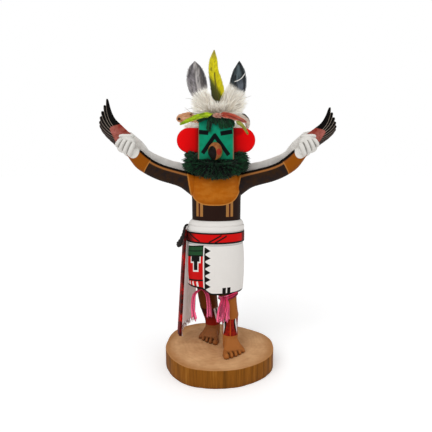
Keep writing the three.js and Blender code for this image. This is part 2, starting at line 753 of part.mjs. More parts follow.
const torso = solid(torsoGeometry(gap));
for (const side of [-1, 1]) {
  const word = side < 0 ? 'right' : 'left';
  doll.add(mesh(`arm_${word}`, toGeometry(armSolid(side, torso)), finishes.paint));
  doll.add(mesh(`wing_${word}`, toGeometry(wingSolid(side)), finishes.wing));
  doll.add(mesh(`ear_${word}`, earGeometry(side), finishes.red));
}
doll.add(mesh('beak', beakGeometry(), finishes.black));
doll.add(mesh('neck_ruff', toGeometry(ruffSolid()), finishes.yarnGreen));
doll.add(mesh('hair_fringe', toGeometry(hairSolid()), finishes.yarnGreen));

doll.add(mesh('feather_grey', tallFeather('feather_grey'), finishes.grey));
doll.add(mesh('feather_yellow', tallFeather('feather_yellow'), finishes.yellow));
doll.add(mesh('feather_slate', tallFeather('feather_slate'), finishes.slate));
doll.add(mesh('down_tuft', toGeometry(downSolid()), finishes.down));
doll.add(mesh('down_right', toGeometry(sideDown(-1)), finishes.down));
doll.add(mesh('down_left', toGeometry(sideDown(1)), finishes.down));
doll.add(mesh('feather_rust', toGeometry(rustSolid()), finishes.rust));
for (const [name, feather] of Object.entries(smallFeathers)) {
  const tone = name.startsWith('plume') ? finishes.tan : finishes[name.split('_')[1]];
  doll.add(mesh(name, smallVane(feather), tone));
}

doll.add(mesh('side_sash', sashGeometry(), finishes.red));
doll.add(mesh('belt_tie_end', tieEndGeometry(), finishes.black));
doll.add(mesh('leg_tie_left', toGeometry(legTieSolid('left', leftStrands, 87)), finishes.yarnPink));
doll.add(mesh('leg_tie_right', toGeometry(legTieSolid('right', rightStrands, 94)), finishes.yarnPink));

export default part;
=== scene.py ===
import math
import random
import bmesh
import bpy
from mathutils import Matrix, Vector, noise


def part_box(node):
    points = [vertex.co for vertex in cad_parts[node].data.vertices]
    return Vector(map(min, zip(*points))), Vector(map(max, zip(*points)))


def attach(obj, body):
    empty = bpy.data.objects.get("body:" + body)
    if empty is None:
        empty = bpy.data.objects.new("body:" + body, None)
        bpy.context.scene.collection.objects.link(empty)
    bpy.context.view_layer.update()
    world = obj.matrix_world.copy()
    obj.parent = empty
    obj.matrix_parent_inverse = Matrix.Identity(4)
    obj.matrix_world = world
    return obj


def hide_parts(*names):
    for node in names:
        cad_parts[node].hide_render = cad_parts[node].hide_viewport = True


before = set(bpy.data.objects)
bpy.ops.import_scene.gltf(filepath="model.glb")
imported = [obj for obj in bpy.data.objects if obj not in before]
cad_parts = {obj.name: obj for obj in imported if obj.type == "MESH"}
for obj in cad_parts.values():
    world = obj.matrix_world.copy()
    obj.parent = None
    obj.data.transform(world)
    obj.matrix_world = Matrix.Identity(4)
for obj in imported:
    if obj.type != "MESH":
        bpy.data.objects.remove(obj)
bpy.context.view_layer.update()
scene = bpy.context.scene
random.seed(11)

# The doll is modelled in its own millimetres: x and y from its upright axis, z from the shelf.
mm = 0.001
ruffLow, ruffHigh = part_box("neck_ruff")
dollAxis = Vector(((ruffLow.x + ruffHigh.x) / 2, (ruffLow.y + ruffHigh.y) / 2, 0))
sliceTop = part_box("base_slice")[1].z / mm
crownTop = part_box("figure")[1].z / mm

view = {"lens": 29.417, "back": 0.4236, "height": 0.2393, "tilt": 82.7}
room = {
    "floorSize": 24, "floorGlow": 0.24,
    "floorDark": (0.93, 0.93, 0.93, 1), "floorLight": (0.95, 0.95, 0.95, 1),
    "skySeen": 1.0, "skyLight": 0.6, "skyMirrored": 0.08,
    "key": {"from": (-0.75, -1.05, 1.15), "spread": 46, "strength": 1.15},
    "fill": {"from": (1.2, -0.6, 0.45), "spread": 60, "strength": 0.5},
}


def addCamera():
    lensData = bpy.data.cameras.new("viewCamera")
    lensData.lens = view["lens"]
    lensData.sensor_width = 36
    lensData.clip_start = 0.01
    camera = bpy.data.objects.new("viewCamera", lensData)
    camera.location = (dollAxis.x, -view["back"], view["height"])
    camera.rotation_euler = (math.radians(view["tilt"]), 0, 0)
    scene.collection.objects.link(camera)
    scene.camera = camera


def addLight(name):
    lamp = bpy.data.lights.new(name, "SUN")
    lamp.angle = math.radians(room[name]["spread"])
    lamp.energy = room[name]["strength"]
    light = bpy.data.objects.new(name, lamp)
    light.rotation_euler = Vector(room[name]["from"]).to_track_quat("Z", "Y").to_euler()
    scene.collection.objects.link(light)


def addSky():
    # white to the eye, softer as light and dim in reflections
    sky = bpy.data.worlds.new("paleRoom")
    sky.use_nodes = True
    rays = addNode(sky.node_tree, "LightPath")
    seen = rays["Is Camera Ray"] * (room["skySeen"] - room["skyLight"])
    mirrored = rays["Is Glossy Ray"] * (room["skyMirrored"] - room["skyLight"])
    glow = sky.node_tree.nodes["Background"].inputs
    glow["Color"].default_value = (1, 1, 1, 1)
    feed(seen + mirrored + room["skyLight"], glow["Strength"])
    scene.world = sky


class Signal:
    # a number, colour or vector that changes over a surface: arithmetic on it adds the nodes
    def __init__(self, socket):
        self.socket = socket
        self.tree = socket.id_data

    def __add__(self, other):
        return maths("ADD", self, other)

    def __sub__(self, other):
        return maths("SUBTRACT", self, other)

    def __rsub__(self, other):
        return maths("SUBTRACT", other, self)

    def __mul__(self, other):
        return maths("MULTIPLY", self, other)

    def __truediv__(self, other):
        return maths("DIVIDE", self, other)


def signals(sockets):
    return {socket.name: Signal(socket) for socket in sockets}


def tint(code):
    # a paint colour from its web code, in linear light
    parts = [int(code[i:i + 2], 16) / 255 for i in (1, 3, 5)]
    return [p / 12.92 if p <= 0.04045 else ((p + 0.055) / 1.055) ** 2.4 for p in parts] + [1.0]


def feed(value, socket):
    # a signal is linked, and a number, vector or colour code is typed in
    if isinstance(value, Signal):
        value.tree.links.new(value.socket, socket)
    else:
        socket.default_value = tint(value) if isinstance(value, str) else value


def addNode(tree, kind, **inputs):
    made = tree.nodes.new("ShaderNode" + kind)
    for label, value in inputs.items():
        feed(value, made.inputs[label])
    return signals(made.outputs)


def maths(operation, *values, clamp=False):
    tree = next(value.tree for value in values if isinstance(value, Signal))
    made = tree.nodes.new("ShaderNodeMath")
    made.operation = operation
    made.use_clamp = clamp
    for socket, value in zip(made.inputs, values):
        feed(value, socket)
    return Signal(made.outputs[0])


def above(value, edge, soft=0.35):
    return maths("MULTIPLY_ADD", value - edge, 1 / soft, 0.5, clamp=True)


def below(value, edge, soft=0.35):
    return 1 - above(value, edge, soft)


def between(value, low, high, soft=0.35):
    return above(value, low, soft) * below(value, high, soft)


def either(*masks):
    whole = masks[0]
    for mask in masks[1:]:
        whole = maths("MAXIMUM", whole, mask)
    return whole


def distance(across, up):
    return maths("SQRT", across * across + up * up)


def paint(colour, *coats):
    # coats of paint over each other, each a colour and where it lies
    for over, mask in coats:
        mixer = mask.tree.nodes.new("ShaderNodeMix")
        mixer.data_type = "RGBA"
        for label, value in (("Factor", mask), ("A", colour), ("B", over)):
            feed(value, mixer.inputs[label])
        colour = Signal(mixer.outputs["Result"])
    return colour


def stroke(x, z, start, end, width, soft=0.35):
    # a straight brush stroke between two points
    dx, dz = end[0] - start[0], end[1] - start[1]
    length = math.hypot(dx, dz)
    right, up = x - start[0], z - start[1]
    run = right * (dx / length) + up * (dz / length)
    side = right * (dz / length) - up * (dx / length)
    return between(run, 0, length, soft) * between(side, -width / 2, width / 2, soft)


def block(x, z, xs, zs, soft=0.35):
    return between(x, *xs, soft) * between(z, *zs, soft)


def oval(x, z, centre, half, soft=0.06):
    across, up = (x - centre[0]) / half[0], (z - centre[1]) / half[1]
    return below(across * across + up * up, 1, soft)


def layer(tree, name):
    # a number that the mesh carries at each point
    held = tree.nodes.new("ShaderNodeAttribute")
    held.attribute_name = name
    return Signal(held.outputs["Fac"])


def turnedBy(x, y, wide, deep):
    # degrees round an upright oval, from the middle of the front
    return maths("DEGREES", maths("ARCTAN2", x / wide, y / -deep))


def speckle(place, scale, detail=3.0, rough=0.55, stretch=(1, 1, 1)):
    squeezed = addNode(place.tree, "Mapping", Vector=place, Scale=stretch)["Vector"]
    cloud = addNode(place.tree, "TexNoise", Vector=squeezed, Scale=scale, Detail=detail, Roughness=rough)
    return cloud["Fac"]


def newGroup(name, inputs, outputs):
    group = bpy.data.node_groups.new(name, "ShaderNodeTree")
    for direction, sockets in (("INPUT", inputs), ("OUTPUT", outputs)):
        for label, kind in sockets.items():
            group.interface.new_socket(label, in_out=direction, socket_type="NodeSocket" + kind)
    return signals(group.nodes.new("NodeGroupInput").outputs), group.nodes.new("NodeGroupOutput").inputs


def useGroup(name, **values):
    made = values["Place"].tree.nodes.new("ShaderNodeGroup")
    made.node_tree = bpy.data.node_groups[name]
    for label, value in values.items():
        feed(value, made.inputs[label])
    return signals(made.outputs)


def newFinish(name, roughness=0.5, sheen=0.0, specular=0.08, origin=dollAxis):
    # a material, its shader, and the place on the piece in the doll's own millimetres
    material = bpy.data.materials.new(name)
    material.use_nodes = True
    tree = material.node_tree
    shader = tree.nodes["Principled BSDF"]
    for label, value in (("Roughness", roughness), ("Sheen Weight", sheen), ("Specular IOR Level", specular)):
        feed(value, shader.inputs[label])
    place = addNode(tree, "Mapping", Vector=objectPlace(tree), Location=-origin / mm, Scale=(1 / mm,) * 3)
    return material, shader, place["Vector"]


def objectPlace(tree):
    # the place on the piece in the frame's metres
    return addNode(tree, "TexCoord")["Object"]


def axes(place):
    # its x, y and z
    return addNode(place.tree, "SeparateXYZ", Vector=place).values()


def dress(shader, colour, roughness=None, height=None, depth=0.12):
    # the last links of a finish: colour, gloss and a bump whose depth is in millimetres
    feed(colour, shader.inputs["Base Color"])
    if roughness is not None:
        feed(roughness, shader.inputs["Roughness"])
    if height is not None:
        bump = addNode(shader.id_data, "Bump", Height=height, Distance=depth * mm, Strength=1.0)
        feed(bump["Normal"], shader.inputs["Normal"])


def brush(shader, colour, place, uneven, creaseShade, gloss):
    coat = useGroup("brushedPaint", Color=colour, Place=place, Uneven=uneven, Crease=creaseShade, Gloss=gloss)
    dress(shader, coat["Color"], coat["Roughness"], coat["Height"])


def brushedFinish(name, pattern, uneven, creaseShade, gloss):
    # pattern(x, y, z, place) gives the colour of each place
    material, shader, place = newFinish(name)
    brush(shader, pattern(*axes(place), place), place, uneven, creaseShade, gloss)
    return material


paintedOutputs = {"Color": "Color", "Roughness": "Float", "Height": "Float"}


def makeBrushedPaint():
    # hand-brushed paint on wood: uneven tone, faint strokes, and painted shade that darkens creases and
    # hollows
    inputs = {"Color": "Color", "Place": "Vector", "Uneven": "Float", "Crease": "Float", "Gloss": "Float"}
    given, result = newGroup("brushedPaint", inputs, paintedOutputs)
    place = given["Place"]
    broad, fine = speckle(place, 0.09, 4), speckle(place, 3.5, 2)
    strokes = speckle(place, 0.8, 4, 0.6, (1, 1, 0.22))
    swing = (broad * 0.55 + strokes * 0.45 - 0.5) * 2
    # painted shade: ambient occlusion darkens the creases and hollows
    hollow = place.tree.nodes.new("ShaderNodeAmbientOcclusion")
    hollow.inputs["Distance"].default_value = 3.2 * mm
    hollow.samples = 6
    shade = 1 - Signal(hollow.outputs["AO"])
    darker = maths("SUBTRACT", 1, shade * given["Crease"], clamp=True)
    value = (swing * given["Uneven"] + 1) * darker
    feed(addNode(place.tree, "HueSaturation", Color=given["Color"], Value=value)["Color"], result["Color"])
    feed(maths("ADD", given["Gloss"], strokes * 0.22 - 0.11, clamp=True), result["Roughness"])
    feed(strokes * 0.7 + fine * 0.3, result["Height"])


def makeWoodGrain():
    # end grain on top with growth rings and saw marks, long grain down the side
    given, result = newGroup("sawnWood", {"Place": "Vector", "Across": "Float", "Side": "Float"},
                             {"Tone": "Float", "Streak": "Float", "Height": "Float"})
    place, side = given["Place"], given["Side"]
    ring = given["Across"] * 0.16 + speckle(place, 0.035, 3) * 5
    rings = maths("SINE", ring * math.tau) * 0.5 + 0.5
    saw = speckle(place, 0.9, 2, 0.5, (0.08, 1, 1))
    blotch = speckle(place, 0.045, 5, 0.6)
    streak = speckle(place, 0.16, 5, 0.62, (1, 1, 0.045))
    thin = speckle(place, 0.75, 4, 0.6, (1, 1, 0.03))
    down = streak * 0.65 + thin * 0.35
    feed(rings * 0.05 + saw * 0.2 + blotch * 0.75, result["Tone"])
    feed(down, result["Streak"])
    feed(down * side + saw * (1 - side), result["Height"])


def makeFibre():
    # loose fibres: each has its own tone, darker at the root and lighter at the tip
    inputs = {"Root": "Color", "Tip": "Color", "Place": "Vector", "Along": "Float", "Own": "Float",
              "Spread": "Float"}
    given, result = newGroup("looseFibre", inputs, paintedOutputs)
    blend = paint(given["Root"], (given["Tip"], given["Along"]))
    fuzz = speckle(given["Place"], 2.2, 3)
    swing = given["Own"] + fuzz * 0.5 - 0.75
    value = swing * given["Spread"] + 1
    feed(addNode(fuzz.tree, "HueSaturation", Color=blend, Value=value)["Color"], result["Color"])
    feed(fuzz * 0.2 + 0.72, result["Roughness"])
    feed(fuzz, result["Height"])


makeBrushedPaint()
makeWoodGrain()
makeFibre()


def toObject(bm, name, material=None, origin=dollAxis):
    # a finished mesh goes from the doll's millimetres to its place in the frame
    bmesh.ops.scale(bm, vec=(mm, mm, mm), verts=bm.verts)
    bmesh.ops.translate(bm, vec=origin, verts=bm.verts)
    mesh = bpy.data.meshes.new(name)
    bm.to_mesh(mesh)
    bm.free()
    if material:
        mesh.materials.append(material)
    mesh.polygons.foreach_set("use_smooth", [True] * len(mesh.polygons))
    piece = bpy.data.objects.new(name, mesh)
    scene.collection.objects.link(piece)
    return piece


def finish(piece, node):
    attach(piece, "root")
    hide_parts(node)
    print(piece.name, len(piece.data.polygons), "faces")


def settle(piece):
    # the piece's modifiers become its mesh
    graph = bpy.context.evaluated_depsgraph_get()
    mesh = bpy.data.meshes.new_from_object(piece.evaluated_get(graph))
    rough = piece.data
    piece.modifiers.clear()
    piece.data = mesh
    bpy.data.meshes.remove(rough)


def carve(piece, voxel, passes):
    # overlapping forms become one carved skin, then the knife marks are rubbed down
    skin = piece.modifiers.new("skin", "REMESH")
    skin.mode = "VOXEL"
    skin.voxel_size = voxel * mm
    skin.use_smooth_shade = True
    rub = piece.modifiers.new("rub", "SMOOTH")
    rub.factor = 0.5
    rub.iterations = passes
    settle(piece)


def unite(whole, pieces):
    for piece in pieces:
        added = whole.modifiers.new("added", "BOOLEAN")
        added.operation = "UNION"
        added.solver = "EXACT"
        added.material_mode = "TRANSFER"
        added.object = piece
    bpy.context.view_layer.update()
    settle(whole)
    for piece in pieces:
        shape = piece.data
        bpy.data.objects.remove(piece)
        bpy.data.meshes.remove(shape)


def flatten(piece, angle=30):
    # edges sharper than the angle stay crisp
    piece.data.set_sharp_from_angle(angle=math.radians(angle))


def gather(*shapes):
    whole = bmesh.new()
    for shape in shapes:
        shell = bpy.data.meshes.new("shell")
        shape.to_mesh(shell)
        shape.free()
        whole.from_mesh(shell)
        bpy.data.meshes.remove(shell)
    return whole


def marked(bm, **values):
    # every point of a part carries the same numbers
    for name, value in values.items():
        held = bm.verts.layers.float.get(name) or bm.verts.layers.float.new(name)
        for vert in bm.verts:
            vert[held] = value
    return bm


def vectors(rows):
    return [Vector(row) for row in rows]


def onCurve(points, t):
    # a smooth curve through the points, of any number of columns, t from 0 to 1
    span = clamp(t) * (len(points) - 1)
    i = min(int(span), len(points) - 2)
    f = span - i
    p1, p2 = points[i], points[i + 1]
    p0 = points[i - 1] if i > 0 else 2 * p1 - p2
    p3 = points[i + 2] if i + 2 < len(points) else 2 * p2 - p1
    return 0.5 * (2 * p1 + (p2 - p0) * f + (2 * p0 - 5 * p1 + 4 * p2 - p3) * f * f
                  + (3 * p1 - p0 - 3 * p2 + p3) * f ** 3)


def curvePoints(rows, steps):
    knots = vectors(rows)
    return [onCurve(knots, i / steps) for i in range(steps + 1)]


def mix(a, b, t):
    return a + (b - a) * t


def clamp(value, low=0.0, high=1.0):
    return min(max(value, low), high)


def ease(value, low, high):
    t = clamp((value - low) / (high - low))
    return t * t * (3 - 2 * t)


def scatter(*sizes):
    # a random step, where a size of 0 takes no draw
    return Vector([random.gauss(0, size) if size else 0 for size in sizes])


def somewhere(half):
    # a random way out from the middle of a ball with these half sizes
    turn, lift = random.uniform(0, math.tau), random.uniform(-1, 1)
    wide = math.sqrt(1 - lift * lift)
    return Vector((half[0] * wide * math.cos(turn), half[1] * wide * math.sin(turn), half[2] * lift))


def fibre(start, bend, end, half, tip=0.5, middle=1.0):
    # the knots of a strand through three points, thinner at its tip
    points = zip((start, bend, end), (half, half * middle, half * tip))
    return [(*point, radius, radius) for point, radius in points]


def rounded(value, power):
    return math.copysign(abs(value) ** (2 / power), value)


def rod(sides, rings):
    # an upright closed cylinder of radius 1 from z 0 to 1, cut into level rings
    bm = bmesh.new()
    bmesh.ops.create_cone(bm, cap_ends=True, segments=sides, radius1=1, radius2=1, depth=1)
    bmesh.ops.translate(bm, vec=(0, 0, 0.5), verts=bm.verts)
    uprights = [e for e in bm.edges if abs(e.verts[0].co.z - e.verts[1].co.z) > 0.5]
    bmesh.ops.subdivide_edges(bm, edges=uprights, cuts=rings - 1, use_grid_fill=True)
    return bm


def sweep(verts, knots, rings, sideOf, power=2.0, ply=0.0, turns=0.0, step=0.02):
    # an upright rod is laid along knots of (x, y, z, half wide, half deep). ply raises that
    # share of its radius into two strands that wind round it the given number of turns.
    level = []
    for i in range(rings + 1):
        t = i / rings
        ahead = (onCurve(knots, t + step).xyz - onCurve(knots, t - step).xyz).normalized()
        level.append((onCurve(knots, t), *sideOf(ahead)))
    for vert in verts:
        t = vert.co.z
        here, side, depth = level[round(t * rings)]
        swell = 1.0
        if ply:
            turn = math.atan2(vert.co.y, vert.co.x)
            swell = 1 + ply * math.cos(2 * (turn - turns * math.tau * t))
        wide, deep = vert.co.xy if power == 2 else (rounded(c, power) for c in vert.co.xy)
        vert.co = here.xyz + side * (wide * here[3] * swell) + depth * (deep * here[4] * swell)


def limb(stations, sides=24, rings=32, across=(1, 0, 0), **shape):
    # a closed rod through stations of (x, y, z, half wide, half deep), its width lying across
    def sideOf(ahead):
        side = Vector(across)
        side = (side - ahead * side.dot(ahead)).normalized()
        return side, side.cross(ahead)

    bm = rod(sides, rings)
    sweep(bm.verts, vectors(stations), rings, sideOf, step=0.01, **shape)
    bmesh.ops.recalc_face_normals(bm, faces=bm.faces)
    return bm


def strands(count, sides, rings, route, **shape):
    # many thin fibres in one mesh. route(i) gives a fibre's knots and its own tone, and each
    # point carries the tone and how far along its fibre it is.
    def sideOf(ahead):
        side = ahead.orthogonal().normalized()
        return side, ahead.cross(side)

    pattern = rod(sides, rings)
    size = len(pattern.verts)
    shell = bpy.data.meshes.new("fibre")
    pattern.to_mesh(shell)
    pattern.free()
    bm = bmesh.new()
    own, along = (bm.verts.layers.float.new(name) for name in ("own", "along"))
    for i in range(count):
        bm.from_mesh(shell)
    bpy.data.meshes.remove(shell)
    bm.verts.ensure_lookup_table()
    for i in range(count):
        knots, tone = route(i)
        verts = bm.verts[i * size:(i + 1) * size]
        for vert in verts:
            vert[own], vert[along] = tone, vert.co.z
        sweep(verts, vectors(knots), rings, sideOf, **shape)
    return bm


def egg(at, half, detail=24):
    bm = bmesh.new()
    bmesh.ops.create_uvsphere(bm, u_segments=detail, v_segments=detail // 2, radius=1)
    bmesh.ops.scale(bm, vec=half, verts=bm.verts)
    bmesh.ops.translate(bm, vec=at, verts=bm.verts)
    return bm


def extrude(bm, faces, by):
    grown = bmesh.ops.extrude_face_region(bm, geom=faces)["geom"]
    bmesh.ops.translate(bm, vec=by, verts=[g for g in grown if isinstance(g, bmesh.types.BMVert)])
    bmesh.ops.recalc_face_normals(bm, faces=bm.faces)


def soften(bm, edges, offset, segments, clamp=False):
    bmesh.ops.bevel(bm, geom=edges, offset=offset, offset_type="OFFSET", segments=segments, profile=0.5,
                    affect="EDGES", material=-1, clamp_overlap=clamp)


def levelEdges(bm):
    return [e for e in bm.edges if abs(e.verts[0].co.z - e.verts[1].co.z) < 1e-6]


def plate(outline, front, thick, edge, segments=2):
    # a flat board cut to an outline in x and z, its front at y and its edges rounded
    bm = bmesh.new()
    face = bm.faces.new([bm.verts.new((x, front, z)) for x, z in outline])
    extrude(bm, [face], (0, thick, 0))
    rims = [e for e in bm.edges if abs(e.verts[0].co.y - e.verts[1].co.y) < 1e-6]
    soften(bm, rims, edge, segments, clamp=True)
    return bm


def turned(profile, steps, closed=False):
    # a profile of (radius, z) spun round the upright axis
    bm = bmesh.new()
    points = [bm.verts.new((radius, 0, z)) for radius, z in profile]
    nexts = points[1:] + (points[:1] if closed else [])
    edges = [bm.edges.new(pair) for pair in zip(points, nexts)]
    bmesh.ops.spin(bm, geom=points + edges, cent=(0, 0, 0), axis=(0, 0, 1), angle=math.tau, steps=steps,
                   use_merge=True)
    return bm


def cutBelow(bm, z):
    # what is under a level is cut away and the cut is closed
    bmesh.ops.bisect_plane(bm, geom=bm.verts[:] + bm.edges[:] + bm.faces[:], plane_co=(0, 0, z),
                           plane_no=(0, 0, -1), clear_outer=True)
    bmesh.ops.holes_fill(bm, edges=[e for e in bm.edges if e.is_boundary], sides=0)


def curveFrame(knots, t, front):
    # a place on a leaf's curve, the way across it and the way out of its face
    ahead = (onCurve(knots, min(t + 0.01, 1)) - onCurve(knots, max(t - 0.01, 0))).normalized()
    side = front.cross(ahead).normalized()
    return onCurve(knots, t), side, ahead.cross(side).normalized()


def leafSheet(knots, swell, face=(0, -1, 0), thick=1.0, columns=8, rows=36, crown=0.0):
    # a thin closed leaf along a curve of (x, y, z). swell(t) is its half width and crown how
    # far its middle stands forward; each point carries how far across and along it is.
    bm = bmesh.new()
    bmesh.ops.create_grid(bm, x_segments=columns, y_segments=rows, size=0.5)
    across, along = (bm.verts.layers.float.new(name) for name in ("across", "along"))
    knots, front = vectors(knots), Vector(face).normalized()
    for vert in bm.verts:
        s, t = vert.co.x * 2, vert.co.y + 0.5
        at, side, out = curveFrame(knots, t, front)
        vert[across], vert[along] = s, t
        vert.co = at + side * (s * swell(t)) + out * (crown * (1 - s * s) + thick / 2)
    bmesh.ops.recalc_face_normals(bm, faces=bm.faces)
    bmesh.ops.solidify(bm, geom=bm.faces[:], thickness=thick)
    bmesh.ops.recalc_face_normals(bm, faces=bm.faces)
    return bm


addCamera()
addSky()
for lightName in ("key", "fill"):
    addLight(lightName)
scene.view_settings.view_transform = "Standard"
print("room, light and camera")


slicePiece = {
    "radius": 64.4, "thick": 22, "steps": 240, "edge": 0.9,
    # how many lobes, how high, and where the first one stands
    "swellings": ((1, 2.65, -2.78), (2, 4.4, -0.28), (3, 2.5, 0.05), (4, 0.7, 0.64)),
    "ripples": ((8, 0.42, 0.25), (9, 0.2, 0.4), (14, 0.12, 1.9), (23, 0.08, 0.7), (37, 0.05, 2.6)),
    "topPale": "#e2b484", "topDeep": "#ae7a4c", "topRim": "#a8703c",
    "sideGold": "#8a5212", "sidePale": "#a4702c", "sideDark": "#5c3608", "sideLow": "#5b3413",
}


def makeSliceFinish():
    material, shader, place = newFinish("logSlice", 0.55, origin=Vector())
    x, y, z = axes(place)
    radius = distance(x, y)
    side = below(z, slicePiece["thick"] - 0.5, 0.5)
    grain = useGroup("sawnWood", Place=place, Across=radius, Side=side)
    top = paint(slicePiece["topDeep"], (slicePiece["topPale"], above(grain["Tone"], 0.5, 0.55)),
                (slicePiece["topRim"], above(radius, slicePiece["radius"] - 4.5, 9) * 0.7))
    flank = paint(slicePiece["sideDark"], (slicePiece["sideGold"], above(grain["Streak"], 0.44, 0.22)),
                  (slicePiece["sidePale"], above(grain["Streak"], 0.62, 0.16)),
                  (slicePiece["sideLow"], below(z, 3, 6) * 0.3))
    dress(shader, paint(top, (flank, side)), height=grain["Height"], depth=0.35)
    return material


def makeSlice():
    bm = bmesh.new()
    bmesh.ops.create_circle(bm, cap_ends=True, segments=slicePiece["steps"], radius=1)
    lobes = slicePiece["swellings"] + slicePiece["ripples"]
    for vert in bm.verts:
        turn = math.atan2(vert.co.y, vert.co.x)
        radius = slicePiece["radius"] + sum(high * math.cos(n * (turn - at)) for n, high, at in lobes)
        vert.co = (radius * math.cos(turn), radius * math.sin(turn), 0)
    extrude(bm, bm.faces[:], (0, 0, slicePiece["thick"]))
    soften(bm, levelEdges(bm), slicePiece["edge"], 3)
    piece = toObject(bm, "logSlice", makeSliceFinish(), Vector())
    flatten(piece)
    finish(piece, "base_slice")


makeSlice()


body = {
    "steps": 144,
    "hem": 91.6, "hemRise": 7, "hemFade": 30, "hemWall": 3.2, "hemDeep": 4, "neckTop": 255,
    # height and half width, from the hem up, and how many steps each run is cut into
    "runs": (
        (((91.6, 34.2), (94.6, 35.0), (108, 35.9), (125, 36.3), (142, 35.7), (153.5, 34.4)), 34),   # kilt
        (((154, 36.2), (160.5, 36.35), (167, 36.2)), 6),   # belt
        (((167.5, 35.0), (168.6, 35.7), (170.5, 35.8), (172.6, 35.5), (173.6, 35.0)), 8),   # roll
        (((174.2, 33.6), (175.8, 33.7), (177.4, 33.0), (179.4, 31.2), (180, 29.8)), 8),   # upper roll
        (((180.4, 29.8), (193, 29.9), (206, 30.0), (214, 30.8), (222, 31.2), (229, 30.0), (234, 26.4),
          (239, 20), (244, 16.5), (253, 16)), 40),   # chest
    ),
    "flatness": ((91, 0.797), (153, 0.797), (160, 0.8), (174, 0.775), (180, 0.725), (206, 0.72), (222, 0.66),
                 (234, 0.66), (239, 0.78), (253, 0.875)),
    "leanLow": -1.0, "leanHigh": 0.4,
    "kiltOval": (36.0, 28.5), "chestOval": (30.0, 21.6),
    "white": "#e2ded9", "black": "#120e0c", "red": "#c60a0a", "green": "#22492a",
    # the worked panel: paint, degrees round the kilt, and heights
    "panel": (("red", (-66.5, -23.6), (96, 138.2)), ("white", (-54.5, -28.4), (129.4, 138.2)),
              ("white", (-47.2, -33.2), (118.8, 138.2)), ("black", (-52.2, -30.7), (131.2, 138.2)),
              ("black", (-44.9, -35.5), (120.8, 138.2)), ("black", (-66.5, -23.6), (107.2, 109.2)),
              ("black", (-67.6, -22.8), (137.4, 150.6)), ("green", (-65.6, -24.6), (139.0, 149.3)),
              ("black", (-66, -24), (143.6, 144.7))),
    "panelBars": (-60.2, -49.2, -37.2), "panelLean": 0.072, "teethPitch": 8.7, "teethReach": 11.6,
    "hemMarks": (17.6, 27.6),
    "beltLines": (((-80, 167), (-56, 156)), ((-64, 167), (-30, 156.5)), ((-12, 156), (12, 164.5)),
                  ((-1, 155.5), (22, 163.5))),
    "chestLines": ((-52.5, -31.3), (23.2, 42.1)),
    "yoke": "#a65600", "yokeHighlight": "#b8660c", "yokeGrain": "#c67c26", "yokeDeep": "#8f4a02",
    "yokeEdge": "#bc7a34", "chest": "#28150e", "line": "#a4713c", "lineGap": "#4a1d10",
}


def rowAt(rows, level):
    # straight between the rows of a table whose first column rises
    for (z0, v0), (z1, v1) in zip(rows, rows[1:]):
        if level <= z1:
            return mix(v0, v1, clamp((level - z0) / (z1 - z0)))
    return rows[-1][1]


def makeBody():
    hem, deep, outer = body["hem"], body["hemDeep"], body["runs"][0][0][0][1]
    inner = outer - body["hemWall"]
    profile = [(hem + deep, 0), (hem + deep, inner), (hem + 0.4, inner), (hem, inner + 0.4)]
    profile.append((hem, outer - 0.5))
    for rows, steps in body["runs"]:
        profile += curvePoints(rows, steps)
    profile.append((body["neckTop"], 0))
    bm = turned([(radius, z) for z, radius in profile], body["steps"])
    bmesh.ops.remove_doubles(bm, verts=bm.verts, dist=0.001)
    for vert in bm.verts:
        x, y, z = vert.co
        y *= rowAt(body["flatness"], z)
        x += mix(body["leanLow"], body["leanHigh"], ease(z, 167, 180))
        # the hem is higher at the right hip
        lift = body["hemRise"] * ease(-x, 4, 18) * (1 - ease(z, hem, hem + body["hemFade"]))
        vert.co = (x, y, z + lift)
    bmesh.ops.recalc_face_normals(bm, faces=bm.faces)
    return toObject(bm, "figure", makeBodyFinish())


def makeBodyFinish():
    material, shader, place = newFinish("paintedBody")
    x, y, z = axes(place)
    colour = paint(paintChest(x, y, z, place), (paintKilt(x, y, z), below(z, 180.15, 0.3)))
    brush(shader, colour, place, above(z, 182, 2) * 0.16 + 0.05, 0.42, 0.46)
    return material


def paintChest(x, y, z, place):
    # an ochre yoke over brown, with two pairs of lines hanging from it
    turn = turnedBy(x, y, *body["chestOval"])
    wide = maths("POWER", maths("ABSOLUTE", (x + 1.5) / 31), 3)
    drop = maths("MAXIMUM", (233 - z) / 34, 0)
    reach = wide + maths("POWER", drop, 3)
    colour = body["chest"]
    for low, high in body["chestLines"]:
        gap = mix(low, high, 0.38), mix(low, high, 0.62)
        colour = paint(colour, (body["line"], block(turn, z, (low, high), (185.2, 206.5))),
                       (body["lineGap"], block(turn, z, gap, (185.2, 206.5))))
    grain = above(speckle(place, 0.075, 3, 0.5, (1, 1, 2.4)), 0.55, 0.16)
    # a painted highlight across the middle of the yoke
    yoke = paint(body["yoke"], (body["yokeHighlight"], between(z, 196, 224, 16) * 0.35),
                 (body["yokeGrain"], grain * 0.35), (body["yokeDeep"], below(z, 203, 8) * 0.8))
    return paint(colour, (body["yokeEdge"], below(reach, 1.03, 0.03)), (yoke, below(reach, 0.93, 0.03)))


